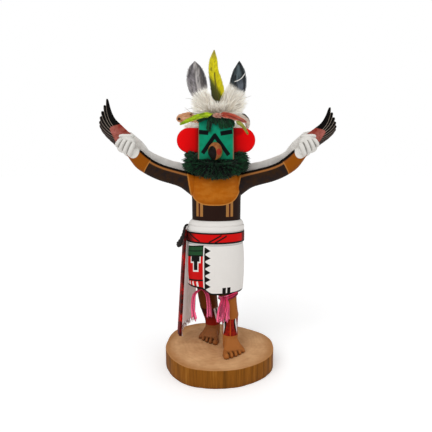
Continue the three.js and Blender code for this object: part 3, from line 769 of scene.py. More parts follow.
def paintKilt(x, y, z):
    # white cloth with a worked panel at the right hip, saw teeth beside it and a black hem
    turn = turnedBy(x + 1, y, *body["kiltOval"])
    white, black = body["white"], body["black"]
    level = z - (turn + 45) * body["panelLean"]
    coats = [(body[ink], block(turn, level, turns, levels)) for ink, turns, levels in body["panel"]]
    for middle in body["panelBars"]:
        coats.append((white, stroke(turn, level, (middle - 0.8, 106.4), (middle + 0.8, 99.4), 4.6)))
    # the saw-toothed line
    wave = maths("FRACT", (z - 97.5) / body["teethPitch"])
    tooth = 1 - maths("ABSOLUTE", wave - 0.55) * 2.1
    reach = tooth * body["teethReach"] - 20
    teeth = above(turn, -20.5) * below(turn - reach, 0, 0.6) * between(z, 97.6, 149.4)
    coats += [(white, block(turn, z, (-23.2, -21.1), (90, 151))),
              (black, block(turn, z, (-20.9, -18.4), (90, 149.5))), (black, teeth)]
    # the hem
    climb = x.tree.nodes.new("ShaderNodeMapRange")
    climb.interpolation_type = "SMOOTHSTEP"
    for label, value in (("Value", x), ("From Min", -4.0), ("From Max", -18.0), ("To Min", 0.0),
                         ("To Max", body["hemRise"])):
        feed(value, climb.inputs[label])
    coats.append((black, below(z - Signal(climb.outputs["Result"]), body["hem"] + 2.3)))
    for middle in body["hemMarks"]:
        coats.append((black, block(turn, z, (middle - 3.6, middle + 3.6), (90, 100.8))))
    # the belt
    ends = either(below(turn, -46, 14), above(turn, 62, 6))
    lines = [("#2a1210", stroke(turn, z, start, end, 2.0)) for start, end in body["beltLines"]]
    cloth = paint("#cc0806", ("#5e1210", ends), *lines, (black, either(above(z, 165.2), below(z, 156))))
    # painted shade: a grey line just under the belt's edge
    beltShadow = ("#b9b6b4", between(z, 151.3, 152.3, 0.7))
    return paint(white, beltShadow, *coats, (cloth, between(z, 153.9, 167.1, 0.2)))


mask = {
    "low": 252, "top": 297, "wide": 20.8, "front": 25, "back": 19, "narrow": 0.055,
    "edge": 1.3, "arcSteps": 32,
    "green": "#078e6a", "greenDeep": "#0a7a55", "greenLitTop": "#12997a", "greenShadedLow": "#0a6a4e",
    # the painted bars: start, end and width
    "marks": (((-19.4, 282.9), (-8.6, 281.9), 5.0), ((5.0, 281.1), (18.4, 283.3), 5.0),
              ((-0.4, 280.4), (-15.4, 259.0), 4.6), ((-2.4, 280.4), (14.6, 257.0), 4.6)),
}


def makeMask():
    bm = bmesh.new()
    wide, front, back = mask["wide"], mask["front"], mask["back"]
    outline = [(-wide, -front), (wide, -front)]
    for i in range(mask["arcSteps"] + 1):
        turn = math.pi * i / mask["arcSteps"]
        outline.append((wide * math.cos(turn), back * math.sin(turn)))
    face = bm.faces.new([bm.verts.new((x, y, mask["low"])) for x, y in outline])
    extrude(bm, [face], (0, 0, mask["top"] - mask["low"]))
    level = set(levelEdges(bm))
    rims = [e for e in bm.edges if e in level or max(v.co.y for v in e.verts) < -front + 0.1]
    soften(bm, rims, mask["edge"], 4)
    for vert in bm.verts:
        vert.co.x *= 1 - mask["narrow"] * (vert.co.z - mask["low"]) / (mask["top"] - mask["low"])
    return toObject(bm, "maskShape", brushedFinish("paintedMask", paintMask, 0.12, 0.45, 0.45))


def paintMask(x, y, z, place):
    front = below(y, -mask["front"] + 0.9, 0.3)
    marks = either(*[stroke(x, z, *mark) for mark in mask["marks"]])
    rim = above(maths("ABSOLUTE", x), 19.3) * below(y, -mask["front"] + 1.8)
    # painted light: the mask is lighter at its top, and painted shade darkens it at the bottom
    return paint(mask["green"], (mask["greenDeep"], above(speckle(place, 0.12, 2), 0.55, 0.3)),
                 (mask["greenLitTop"], above(z, 285, 8) * 0.5), (mask["greenShadedLow"], below(z, 259, 8) * 0.6),
                 ("#0a1012", marks * front), ("#8c5a46", rim * 0.8))


legs = {
    "left": ((14.4, -10, 99.5, 10.6, 11), (15.4, -12.5, 78, 10.4, 10.6), (16.8, -14.5, 62, 10.6, 10.4),
             (17.4, -18, 48, 9.3, 9), (17.6, -19.8, 38, 9.5, 9.1), (17.6, -20, 26, 9, 9)),
    "right": ((-14, 9, 104, 12.2, 11), (-11, 10.5, 78, 12.3, 10.8), (-8.4, 11.6, 62, 11.3, 10.4),
              (-5.2, 12, 48, 9.8, 9), (-4.2, 12.6, 38, 9.7, 9), (-4.4, 13.4, 26, 9.4, 8.6)),
    "calves": (((22.2, -13, 62), (5.9, 6.5, 8)), ((-15.5, 13.5, 66), (6, 6.5, 10))),
    # how far forward, half wide, high
    "footRuns": ((-11, 4.6, 8), (-8, 7.8, 13), (-2, 9, 19), (5, 9.4, 19.5), (11, 11.4, 14.5),
                 (16, 13.4, 10.2), (20, 14.4, 7.4), (22, 13.6, 5.4)),
    # a toe from its root to its tip: behind the tip, over the sole, and shares of its half width and height
    "toeRuns": ((11, 1.8, 0.9, 0.9), (6, 1.4, 1, 1), (2.4, 1.3, 1, 1), (0.7, 1.2, 0.72, 0.75),
                (0, 1.0, 0.25, 0.3)),
    "footWide": 14.6, "bigToe": 7.0, "toes": 5, "toeReach": 29, "toeGap": 0.32, "slant": 0.34, "voxel": 0.45,
    "feet": (((17.9, -19), -1, 0.2), ((-4.8, 15.6), 1, -0.27)),   # ankle, side of the big toe, turn
}


def makeFoot(ankle, inner, turn):
    # the sole, and toes whose tips fall back towards the outer side
    sole, broad = sliceTop + 0.35, legs["footWide"]
    instep = limb([(0, -run, sole, wide, high) for run, wide, high in legs["footRuns"]], 28, 30, power=2.4)
    for vert in instep.verts:
        outer = (-inner * vert.co.x + broad) / (2 * broad)
        vert.co.y += max(-vert.co.y - 6, 0) * legs["slant"] * outer
    shapes, edge = [instep], -broad
    for i in range(legs["toes"]):
        wide = legs["bigToe"] if i == 0 else (2 * broad - legs["bigToe"]) / (legs["toes"] - 1)
        x = -inner * (edge + wide / 2)
        tip = legs["toeReach"] - 1.1 * i - 0.42 * i * i
        half, high = wide / 2 - legs["toeGap"], 4.9 - 0.35 * i
        rows = [(x, behind - tip, sole + up, half * share, high * rise)
                for behind, up, share, rise in legs["toeRuns"]]
        shapes.append(limb(rows, 18, 24, power=2.2))
        edge += wide
    foot = gather(*shapes)
    bmesh.ops.rotate(foot, cent=(0, 0, 0), matrix=Matrix.Rotation(turn, 3, "Z"), verts=foot.verts)
    bmesh.ops.translate(foot, vec=(*ankle, 0), verts=foot.verts)
    return foot


def makeLegs():
    shapes = [limb(legs["left"], 36, 50), limb(legs["right"], 36, 50)]
    shapes += [makeFoot(*foot) for foot in legs["feet"]] + [egg(*calf) for calf in legs["calves"]]
    bm = gather(*shapes)
    cutBelow(bm, sliceTop + 0.36)
    piece = toObject(bm, "legShape")
    carve(piece, legs["voxel"], 4)
    piece.data.materials.append(brushedFinish("paintedSkin", paintSkin, 0.14, 0.75, 0.5))
    return piece


def paintSkin(x, y, z, place):
    black, white = "#15100d", "#d9d6cf"
    leftLeg = above(x - y * 0.55, 8, 3)
    # the right leg and foot are painted darker than the left ones: painted shade
    shin, foot = paint("#66350c", ("#9c5a22", leftLeg)), paint("#86522c", ("#a2622e", leftLeg))
    # the left ankle band: white and black slips at both sides of an ochre line
    low, high = 40.6, 60.4
    around = turnedBy(x - 17.4, y + 18.5, 9, 9)
    leftBand = between(z, low, high) * leftLeg
    leftCloth = paint("#9c1c08", ("#6a0f08", above(speckle(place, 0.35, 2), 0.5, 0.3)),
                      ("#c05a14", between(around, -4, 3, 4) * 0.6))
    for middle, lean, outward in ((-48, 7, -15), (44, 5, 15)):
        slip = middle + outward
        leftCloth = paint(leftCloth,
                          (black, stroke(around, z, (middle - lean, high), (middle + lean, low + 7), 17, 2)),
                          (white, stroke(around, z, (slip - lean, high), (slip + lean, low + 5), 15, 2)))
    # the right ankle band, darker as painted shade and darker still towards its top, with a black and a white
    # slip on its inner side
    low, high = 39.8, 63.2
    around = turnedBy(x + 5.4, y - 12.2, 9, 9)
    rightBand = between(z, low, high) * (1 - leftLeg)
    slips = [(ink, stroke(around, z, (start, high + 4), (end, low + 8), wide, 2))
             for start, end, ink, wide in ((16, 44, white, 11), (32, 60, black, 12), (48, 76, white, 12))]
    rightCloth = paint("#80160c", ("#3e0e08", above(z, 52, 12)), *slips)
    return paint(foot, (shin, above(z, 41, 5)), (leftCloth, leftBand), (rightCloth, rightBand))


def makeFigure():
    piece = makeBody()
    unite(piece, [makeMask(), makeLegs()])
    flatten(piece, 35)
    finish(piece, "figure")


makeFigure()


arm = {
    "shoulder": (30, 225), "power": 2.3, "voxel": 0.5, "passes": 3,
    # the left arm hangs lower as far as its elbow and leans out, and its wing is shorter
    "droop": 0.03, "lean": 0.064, "lift": 0.08, "elbow": 82, "wingPivot": 270.04, "leftWing": 0.82,
    # out, up, half high, half deep, y
    "line": ((22, 220.5, 14.5, 11.4, 0), (34, 226.6, 11.8, 9.6, 0), (43, 230, 10.2, 8.4, 0),
             (54, 233.2, 9.8, 7.8, 0), (66, 236.8, 9.8, 7.8, 0), (77.7, 242, 9.7, 7.8, 0),
             (88.9, 249.3, 9.9, 7.6, -0.5), (95, 255.7, 9.2, 7.0, -1.5), (100, 261.4, 7.9, 6.4, -2.5)),
    # lumps of the fist (out, up), their half sizes and how far forward they sit
    "lumps": (((106.5, 271.6), (10.8, 6.4, 9.0), -3.4), ((109.6, 266.6), (8.8, 5.6, 6.4), -4.6),
              ((104.6, 262.4), (6.4, 5.6, 6.2), -4.6), ((98.8, 262.2), (5.6, 7.0, 6.6), -3)),
    # where each finger starts and ends, and its half width
    "fingers": (((112.2, 276.4), (118.0, 269.0), 2.5), ((107.0, 276.2), (113.6, 264.6), 2.7),
                ((102.2, 274.4), (108.8, 260.8), 2.8), ((97.2, 271.4), (103.4, 257.2), 3.0)),
    "fingerY": -8.3, "thumb": ((115.4, 280.2), (99, 280.2)), "thumbY": -3.6, "thumbWide": 2.5,
    # along a finger: how far, how far back from the front, and its share of the half width
    "fingerRuns": ((0, 3.2, 0.6), (0.1, 0.6, 0.95), (0.3, -0.9, 1.05), (0.55, -1.3, 1.0), (0.8, -0.4, 1.0),
                   (0.95, 1.4, 0.9), (1, 3.6, 0.6)),
    "ochre": "#904c02", "elbowEdge": "#b87a3a", "black": "#120a06", "white": "#dedbd5", "fingerShade": "#6d675f",
    "brown": "#34200f", "brownDark": "#221a1a", "stripe": "#9c6330",
}
sideWord = {1: "left", -1: "right"}


def hang(out):
    # the left arm sinks a little as far as its elbow, and its forearm is the steeper one
    fall = arm["droop"] * (clamp(out, arm["shoulder"][0], arm["elbow"]) - arm["shoulder"][0])
    return fall - arm["lift"] * clamp(out - arm["elbow"], 0, 20)


def leanAt(up):
    return arm["lean"] * (up - arm["shoulder"][1])


def layOn(side, out, up):
    # outwards and upwards to x and z
    return (out + leanAt(up), up - hang(out)) if side > 0 else (-out, up)


def markArm(piece, side):
    # every point carries how far out and up it is, and how high it is across the arm
    middle = curvePoints(arm["line"], 60)
    marks = {"out": [], "up": [], "rise": []}
    for vert in piece.data.vertices:
        spot = (vert.co - dollAxis) / mm
        out, up = side * spot.x, spot.z
        if side > 0:
            up += hang(out - leanAt(up))
            out -= leanAt(up)
        i = min(range(1, 60), key=lambda k: (middle[k][0] - out) ** 2 + (middle[k][1] - up) ** 2)
        ahead = (middle[i + 1].xy - middle[i - 1].xy).normalized()
        rise = (up - middle[i][1]) * ahead.x - (out - middle[i][0]) * ahead.y
        for label, value in (("out", out), ("up", up), ("rise", rise / middle[i][2])):
            marks[label].append(value)
    for label, values in marks.items():
        piece.data.attributes.new(label, "FLOAT", "POINT").data.foreach_set("value", values)


def paintArm(x, y, z, place):
    out, up, rise = (layer(place.tree, label) for label in ("out", "up", "rise"))
    black = arm["black"]
    elbow = out + (up - 246) * 0.6
    # the black along the arm's top, here and on the upper arm, is a painted line widened with painted shade
    # under the wing's band
    forearm = paint(arm["ochre"], (arm["elbowEdge"], below(elbow, 82.6, 1.2) * 0.8),
                    (black, above(rise, 0.76, 0.14)))
    # the yoke runs on to the shoulder, with a pale line at its edge
    root = out - up * 0.16 + above(x, 0) * 4.8
    shoulder = paint(body["yoke"], (body["yokeEdge"], above(root, -4.4, 0.5)))
    fist = either(oval(out, up, (98.8, 262.6), (7.4, 8.6), 0.1),
                  oval(out, up, (106.5, 269.5), (12.5, 11), 0.1),
                  above(out, 106, 0.6), above(out + up, 371.5, 1))
    # painted shade: grey where the fingers meet
    skin = arm["white"]
    for (start, end, _), (start2, end2, _) in zip(arm["fingers"], arm["fingers"][1:]):
        fingerShade = stroke(out, up, Vector(start).lerp(start2, 0.5), Vector(end).lerp(end2, 0.5), 0.9, 0.9)
        skin = paint(skin, (arm["fingerShade"], fingerShade * below(y, -7, 1) * 0.9))
    return paint(arm["brown"], (arm["brownDark"], above(speckle(place, 0.12, 3), 0.5, 0.3)),
                 (arm["stripe"], between(rise, 0.5, 0.73, 0.12)), (black, above(rise, 0.74, 0.1)),
                 (forearm, above(elbow, 81.3, 0.6)),
                 (shoulder, below(root, -2.9, 0.5) * below(rise, 0.74, 0.1)), (skin, fist))


def curl(side, start, end, y, wide):
    # a finger laid over the front, tucked in at both ends
    (x0, z0), (x1, z1) = layOn(side, *start), layOn(side, *end)
    rows = [(mix(x0, x1, t), y + back, mix(z0, z1, t), wide * share, wide * share)
            for t, back, share in arm["fingerRuns"]]
    return limb(rows, 14, 22, across=(0, 1, 0))


def makeArm(side, material):
    rows = []
    for out, up, high, deep, y in arm["line"]:
        x, z = layOn(side, out, up)
        rows.append((x, y, z, deep, high))
    shapes = [limb(rows, 32, 60, across=(0, 1, 0), power=arm["power"])]
    for spot, half, y in arm["lumps"]:
        x, z = layOn(side, *spot)
        shapes.append(egg((x, y, z), half, 28))
    shapes.append(curl(side, *arm["thumb"], arm["thumbY"], arm["thumbWide"]))
    shapes += [curl(side, start, end, arm["fingerY"], wide) for start, end, wide in arm["fingers"]]
    piece = toObject(gather(*shapes), "arm_" + sideWord[side] + "_carved")
    carve(piece, arm["voxel"], arm["passes"])
    piece.data.materials.append(material)
    markArm(piece, side)
    finish(piece, "arm_" + sideWord[side])


wing = {
    "feathers": 10, "step": 0.32, "thick": 1.3, "front": 9.2, "half": (4.7, 5.8), "blunt": (1.7, 5),
    "bandFront": 8.3, "bandThick": 4.0, "boardThick": 1.2,
    "lead": ((103, 276.5), (111.3, 284.2), (119.9, 292.9), (125.2, 298.8), (128.6, 305.6), (130.8, 314.6),
             (131.7, 325.4)),
    "trail": ((102, 268), (107.2, 269.2), (112.4, 270.6), (117.6, 272.5), (121.8, 275), (125.2, 278),
              (128, 281.6)),
    "tips": ((131.8, 325.6), (139.4, 309.5), (142.4, 297), (138.6, 289.2), (128, 281.6)),
    "band": ((33, 239), (36, 245), (43, 249.2), (54, 251.6), (67, 256.3), (77.7, 261.1), (83.4, 264.6),
             (87.4, 270.4), (91.4, 275.2), (104.2, 286.2), (110.4, 287.6), (116, 282), (114, 272),
             (106, 265), (97, 257.5), (88, 249), (78, 241.5), (58, 233.5), (36, 228)),
    # ranks: each blade from 0 to 1, the board behind them and the white band in front
    "boardRank": 0.8, "bandRank": -1,
    "dark": "#0a0706", "brown": "#443836", "line": "#aa9c8c", "patch": "#b4685f", "patchDeep": "#86241a",
    "patchWorn": "#9a5244", "white": "#cfcbc5", "whiteClean": "#e2dfda",
}


def paintWing(x, y, z, place):
    out, up, rank, across = (layer(place.tree, label) for label in ("out", "up", "rank", "across"))
    faint = above(rank, 0.45, 0.5) * -0.8 + 0.88
    line = between(across * -1, 0.82, 0.93, 0.05) * below(rank, 0.97, 0.02) * faint
    # the pink patch that the long feathers grow from, rounded at its corner
    overTop = maths("MAXIMUM", up + out * 0.274 - 323, 0)
    overSide = maths("MAXIMUM", out - up * 0.447 + 4.05, 0)
    patch = paint(wing["patch"], (wing["patchDeep"], above(up - out * 0.95 - 166.5, 9.5, 8)),
                  (wing["patchWorn"], above(speckle(place, 0.25, 3), 0.5, 0.25)))
    band = paint(wing["white"], (wing["whiteClean"], below(speckle(place, 0.1, 2), 0.5, 0.4)))
    return paint(wing["dark"], (wing["brown"], above(rank, 0.6, 0.75)), (wing["line"], line),
                 (patch, below(distance(overTop, overSide), 5, 1.2)), (band, below(rank, -0.5)))


def leafSwell(t, half, blunt=2.6, least=0.5, stem=0.2, taper=0.5):
    # the half width of a leaf or a feather: a narrow foot, then full, then a blunt tip
    return least + (half - least) * ease(t, 0, stem) * max(1 - t ** blunt, 0) ** taper


def makeWing(side, material):
    tips, lead, trail = (vectors(wing[edge]) for edge in ("tips", "lead", "trail"))
    shapes, lines = [], []
    for i in range(wing["feathers"]):
        t = i / (wing["feathers"] - 1)
        y = wing["front"] + wing["thick"] / 2 + wing["step"] * i
        # between the leading and the trailing feather, drawn out to its own tip
        stray = onCurve(tips, t) - mix(lead[-1], trail[-1], t)
        knots = []
        for n, (ahead, behind) in enumerate(zip(lead, trail)):
            x, z = layOn(side, *(mix(ahead, behind, t) + stray * (n / (len(lead) - 1)) ** 2))
            knots.append((x, y, z))
        lines.append([at.xz for at in curvePoints(knots, 11)])
        half, blunt = mix(*wing["half"], t), mix(*wing["blunt"], min(3 * t, 1))
        blade = leafSheet(knots, lambda s: leafSwell(s, half, blunt, 0.6, 0.05, 0.6), thick=wing["thick"],
                          columns=12, rows=40, crown=0.1)
        across = blade.verts.layers.float["across"]
        for vert in blade.verts:
            vert[across] *= side
        shapes.append(marked(blade, rank=t))
    # a board behind the blades holds them together
    backing = [lines[0][i] for i in (0, 3, 6, 9)] + [line[10] for line in lines[1:]]
    backing += [lines[-1][i] for i in (6, 3, 0)]
    boardFront = wing["front"] + wing["thick"] + wing["step"] * wing["feathers"]
    shapes.append(marked(plate(backing, boardFront, wing["boardThick"], 0.3, 1), rank=wing["boardRank"]))
    outline = [layOn(side, out, up) for out, up in wing["band"]]
    shapes.append(marked(plate(outline, wing["bandFront"], wing["bandThick"], 0.9, 3), rank=wing["bandRank"]))
    piece = toObject(gather(*shapes), "wing_" + sideWord[side] + "_carved", material)
    flatten(piece, 40)
    markArm(piece, side)
    if side > 0:
        pivot = arm["wingPivot"] * mm
        for vert, rank in zip(piece.data.vertices, piece.data.attributes["rank"].data):
            if rank.value > -0.5:
                vert.co.z = pivot + (vert.co.z - pivot) * arm["leftWing"]
    finish(piece, "wing_" + sideWord[side])


armFinish = brushedFinish("paintedArm", paintArm, 0.14, 0.8, 0.45)
wingFinish = brushedFinish("paintedWing", paintWing, 0.12, 0.7, 0.5)
for side in (-1, 1):
    makeArm(side, armFinish)
    makeWing(side, wingFinish)


ear = {
    "radius": 14.7, "z": 275.3, "reach": 47, "thick": 6, "front": -5, "edge": 1.6, "steps": 28,
    "red": "#f00004", "inner": "#b00406", "rim": "#a80a0a", "wearAndShade": "#8a0408",
}
beak = {
    "rows": ((-1.0, -24.6, 261.4, 8.3, 10.1), (-1.0, -28, 261.4, 8.0, 9.8), (-1.6, -32, 260, 7.1, 9.0),
             (-2.5, -35.2, 258.6, 5.7, 7.6), (-3.4, -36.8, 257.6, 3.6, 4.9), (-3.8, -37.3, 257.2, 1.2, 1.6)),
    "wood": "#a5683a", "woodDeep": "#8a4c28", "red": "#a03020", "green": "#7fb04a", "black": "#171210",
}


def paintEar(x, y, z, place):
    across, middle = maths("ABSOLUTE", x), ear["reach"] - ear["radius"]
    past, rise = across - middle, z - ear["z"]
    far = maths("SQRT", past * past * above(across, middle, 0.1) + rise * rise)
    # painted shade: darker near the mask, and a painted shadow of the feathers on the top of the left ear
    return paint(ear["red"], (ear["inner"], below(across, 23.5, 5)),
                 (ear["rim"], above(far, 13.9, 0.8) * 0.6),
                 (ear["wearAndShade"], oval(x, z, (25, 287), (8, 6), 0.9) * 0.5))


def makeEar(side, material):
    radius, inner, centre = ear["radius"], mask["wide"] - 1.5, ear["reach"] - ear["radius"]
    outline = [(side * inner, ear["z"] - radius)]
    for i in range(ear["steps"] + 1):
        turn = math.pi * (i / ear["steps"] - 0.5)
        outline.append((side * (centre + radius * math.cos(turn)), ear["z"] + radius * math.sin(turn)))
    outline.append((side * inner, ear["z"] + radius))
    board = plate(outline, ear["front"], ear["thick"], ear["edge"], 4)
    piece = toObject(board, "ear_" + sideWord[side] + "_carved", material)
    flatten(piece, 40)
    finish(piece, "ear_" + sideWord[side])


def makeBeak():
    material, shader, place = newFinish("paintedBeak")
    x, y, z = axes(place)
    colour = paint(beak["wood"], (beak["woodDeep"], above(speckle(place, 0.2, 3), 0.5, 0.3)),
                   (beak["red"], oval(x, z, (3.2, 260.2), (2.6, 3.6), 0.5)),
                   (beak["green"], above(y, -27.2, 0.6) * 0.8),
                   (beak["black"], oval(x, z, (-4.4, 258.0), (5.0, 8.6), 0.2)))
    brush(shader, colour, place, 0.12, 0.6, 0.4)
    finish(toObject(limb(beak["rows"], 36, 30), "beakCarved", material), "beak")


earFinish = brushedFinish("paintedEar", paintEar, 0.06, 0.6, 0.42)
for side in (-1, 1):
    makeEar(side, earFinish)
makeBeak()


ruff = {
    "fibres": 4800, "flat": 0.84, "rootRadius": 22, "half": 0.52, "clump": 1.3, "coreSteps": 64,
    # radius and height of the cut ends, from the top of the ring round under it
    "ends": ((22, 257), (29, 259), (34.5, 258.4), (37.6, 253.5), (39.0, 247), (38.6, 240), (36.4, 233.5),
             (32, 229.2), (27, 229.6)),
    "core": ((17.5, 250.5), (31, 251), (34, 247), (34.5, 241), (32, 234.5), (27, 232), (19, 237)),
    "root": "#000402", "tip": "#09361c", "spread": 1.4,
}


def ruffPlace(turn, radius, z):
    # the ring is lower in front, where it is pressed down under the mask, and rides up on the arms
    low, high = clamp((248.5 - z) / 18), clamp((z - 246) / 8)
    front, sideways = ease(-math.sin(turn), 0.2, 0.9), math.cos(turn) ** 2
    rise = 9 * low * sideways - 7.5 * high * front + 3.4 * high * sideways
    return Vector((radius * math.cos(turn), radius * math.sin(turn) * ruff["flat"], z + rise))


def makeYarnFinish(name, root, tip, spread):
    material, shader, place = newFinish(name, 0.9, 0.15, 0.15)
    along, own = layer(place.tree, "along"), layer(place.tree, "own")
    coat = useGroup("looseFibre", Root=root, Tip=tip, Place=place, Along=along, Own=own, Spread=spread)
    dress(shader, coat["Color"], coat["Roughness"], coat["Height"], 0.1)
    return material


def makeRuff():
    ends = vectors(ruff["ends"])

    def route(i):
        turn = random.uniform(0, math.tau)
        radius, z = onCurve(ends, random.random())
        tuft = 1.2 * math.cos(14 * turn + z) + random.gauss(0, 0.9)
        end = ruffPlace(turn, radius + tuft, z)
        start = ruffPlace(turn, ruff["rootRadius"], mix(244, z, 0.35))
        bend = (start + end) / 2 + scatter(0.8, 0.8, 0.6) + Vector((0, 0, 1.4))
        end += scatter(0.9, 0.9, 0.9)
        half = ruff["half"] * random.uniform(0.6, 1.25)
        clump = noise.noise(end * 0.28) * ruff["clump"]
        return fibre(start, bend, end, half, 0.6, 1.1), random.random() + clump

    yarn = strands(ruff["fibres"], 3, 3, route)
    core = turned(ruff["core"], ruff["coreSteps"], closed=True)
    for vert in core.verts:
        turn = math.atan2(vert.co.y, vert.co.x)
        vert.co = ruffPlace(turn, math.hypot(vert.co.x, vert.co.y), vert.co.z)
    bmesh.ops.recalc_face_normals(core, faces=core.faces)
    material = makeYarnFinish("greenYarn", ruff["root"], ruff["tip"], ruff["spread"])
    finish(toObject(gather(yarn, core), "neckRuffYarn", material), "neck_ruff")


makeRuff()


hair = {
    "cover": 110, "half": 0.85, "crown": ((0, -7, 296), (19.4, 21.5, 8)), "lifts": (0.98, 0.75, 0.45, 0.12),
    # where each lock leaves the crown and ends on the brow (x, x, z), and its yarns
    "locks": (((-13, -7), (-22, -16), (293, 296.5), 16), ((-8, -4), (-10.2, -6.4), (282.5, 287), 13),
              ((-6, 1), (-6.5, 2), (290, 294), 14), ((1, 5), (3.5, 7), (284.5, 288.5), 8),
              ((3, 14), (6, 20.5), (286, 290.5), 40), ((8, 16), (14, 21.5), (289, 293), 16)),
    "brow": -26.3, "root": "#010a05", "tip": "#083f20", "spread": 1.3,
}


def makeHair():
    middle, size = hair["crown"]
    turns = [math.tau * (i + random.random()) / hair["cover"] for i in range(hair["cover"])]
    locks = []
    for starts, ends, lows, count in hair["locks"]:
        for i in range(count):
            t = (i + 0.5) / count
            locks.append((mix(*starts, t), mix(*ends, t), random.uniform(*lows)))

    def coverRoute(i):
        half = hair["half"] * random.uniform(0.85, 1.15)
        knots = []
        for lift in hair["lifts"]:
            wide, turn = math.sqrt(1 - lift * lift), turns[i] + random.gauss(0, 0.05)
            x = middle[0] + size[0] * wide * math.cos(turn)
            y = middle[1] + size[1] * wide * math.sin(turn)
            knots.append((x, y, middle[2] + size[2] * lift + 0.4, half, half))
        return knots, random.random()

    def lockRoute(i):
        start, end, low = locks[i]
        half = hair["half"] * random.uniform(0.85, 1.15)
        brow = hair["brow"] - abs(random.gauss(0, 1.1))
        knots = [(start, -20, 303), (mix(start, end, 0.2), brow + 0.8, 300),
                 (mix(start, end, 0.45), brow - 0.6, mix(299, low, 0.4)),
                 (mix(start, end, 0.8) + random.gauss(0, 0.4), brow - 0.4, mix(299, low, 0.75)),
                 (end + random.gauss(0, 0.5), brow + 0.1, low)]
        radii = [half] * 4 + [half / 2]
        return [(*at, radius, radius) for at, radius in zip(knots, radii)], random.random()

    yarns = [strands(count, 6, 8, route, ply=0.2, turns=1.0)
             for count, route in ((len(turns), coverRoute), (len(locks), lockRoute))]
    under = egg(middle, size, 32)
    cutBelow(under, crownTop - 0.5)
    material = makeYarnFinish("hairYarn", hair["root"], hair["tip"], hair["spread"])
    finish(toObject(gather(*yarns, under), "hairYarn", material), "hair_fringe")


makeHair()


tall = {
    # half widths at even steps from the foot to the tip
    "feather_grey": {
        "slot": "grey_feather", "quill": "#cfc8c2", "halves": (0.8, 2.6, 6.4, 9.8, 11.3, 11.4, 9.7, 6.8, 0.5),
        "route": ((-10, -6, 303.5), (-16.7, -6.6, 322), (-21.6, -7.2, 338), (-23.8, -7.8, 352),
                  (-24.5, -8.4, 364.2))},
    "feather_yellow": {
        "slot": "yellow_feather", "quill": "#574c10", "halves": (1.6, 5.6, 7.9, 8.0, 7.6, 6.8, 5.7, 4.6, 0.5),
        "route": ((4.2, -6, 304.8), (3.2, -6.6, 322), (0.8, -7.2, 338), (-3.1, -7.8, 356),
                  (-2.1, -8.4, 376.5))},
    "feather_slate": {
        "slot": "slate_feather", "quill": "#3a4246", "halves": (0.8, 2.4, 6.0, 9.2, 10.0, 9.3, 7.6, 4.6, 0.4),
        "route": ((14, -6, 302.2), (22.4, -6.6, 322), (25.4, -7.2, 338), (26.6, -7.8, 352),
                  (26.8, -8.4, 364.4)),
        "stray": ((21.4, -9.6, 341.4), (25.4, -10, 342.6), (29.6, -10.2, 345.2), (33.4, -9.8, 350.4))},
}


def feather(knots, swell, barbs, face=(0, -1, 0), half=0.3, quill=0.55, ragged=0.015):
    # a quill, a thin vane and the barbs that cover it and make its edge. The quill's tone is -1.
    knots, front = vectors(knots), Vector(face).normalized()
    points = [onCurve(knots, i / 20) for i in range(21)]
    length = sum((b - a).length for a, b in zip(points, points[1:]))
    clumps = [random.gauss(0, ragged) for _ in range(barbs // 5 + 2)]

    def route(i):
        tipT = 0.03 + 0.97 * (i + 0.5) / (2 * barbs)
        reach = swell(tipT) * (1 + clumps[i // 10] + random.gauss(0, 0.012)) * (1 if i % 2 else -1)
        root, _, out = curveFrame(knots, max(tipT - 1.1 * swell(tipT) / length, 0.0), front)
        start = root + out * 0.25
        end, across, out = curveFrame(knots, min(tipT + random.gauss(0, 0.002), 1), front)
        tip = end + across * reach + out * random.uniform(-0.15, 0.25)
        bend = start.lerp(tip, 0.5) + across * (reach * 0.1) + out * 0.45
        return fibre(start, bend, tip, half), random.random()

    hairs = strands(2 * barbs, 3, 4, route)
    sheet = leafSheet(knots, lambda t: swell(t) * 0.9, face, 0.35, 6, 30)
    rows = []
    for i in range(9):
        at, _, out = curveFrame(knots, i / 8, front)
        thin = quill * (1 - 0.75 * i / 8)
        rows.append((*(at + out * 0.3), thin, thin))
    return gather(hairs, marked(sheet, own=0.4), marked(limb(rows, 8, 24), own=-1))


def makeFeatherFinish(name, pattern, quill):
    # pattern(x, z) paints the vane where it stands
    material, shader, place = newFinish(name, 0.75, 0.25, 0.25)
    x, _, z = axes(place)
    own, vane = layer(place.tree, "own"), pattern(x, z)
    coat = useGroup("looseFibre", Root=vane, Tip=vane, Place=place, Own=own, Spread=0.5)
    colour = paint(coat["Color"], (quill, below(own, -0.5)), ("#f4f2ee", above(own, 1.5)))
    dress(shader, colour, coat["Roughness"], coat["Height"], 0.08)
    return material


def streaks(tree, scale, stretch, level=0.5, soft=0.25):
    return above(speckle(objectPlace(tree), scale, 3, 0.6, stretch), level, soft)


def greyPattern(x, z):
    pale = stroke(x, z, (-19, 332), (-24.2, 361), 3.0, 2.5)
    rims = either(stroke(x, z, (-19.5, 362), (-10.5, 336), 3.2, 2.4),
                  stroke(x, z, (-32.8, 346), (-24.6, 365), 3.0, 2.2))
    return paint("#9a9496", ("#6a656a", above(z, 351, 30)),
                 ("#67615c", above(x + z * 0.27 - 71.5, 1.5, 5) * 0.75),
                 ("#bdb8b6", pale * 0.75), ("#46434a", rims * 0.75),
                 ("#4d4746", streaks(x.tree, 420, (1, 1, 0.2), 0.56, 0.14) * 0.75),
                 ("#c3bdb9", streaks(x.tree, 300, (1, 1, 0.22), 0.58, 0.16) * 0.65),
                 ("#e4ddd6", above(x * 0.52 - z, -340.6, 9)))


def yellowPattern(x, z):
    # the olive foot stands higher on the left
    foot = 337.5 - x * 1.5 - z
    return paint("#e8dc00", ("#c6ba00", streaks(x.tree, 520, (1, 1, 0.2), 0.54, 0.3)),
                 ("#a89a36", above(z, 369, 7) * 0.85), ("#5a5f06", above(foot, 0, 7)),
                 ("#32300a", above(foot, 7, 9) * 0.75),
                 ("#4d430a", stroke(x, z, (1.4, 306), (-1.6, 352), 1.6, 1.0) * 0.8))


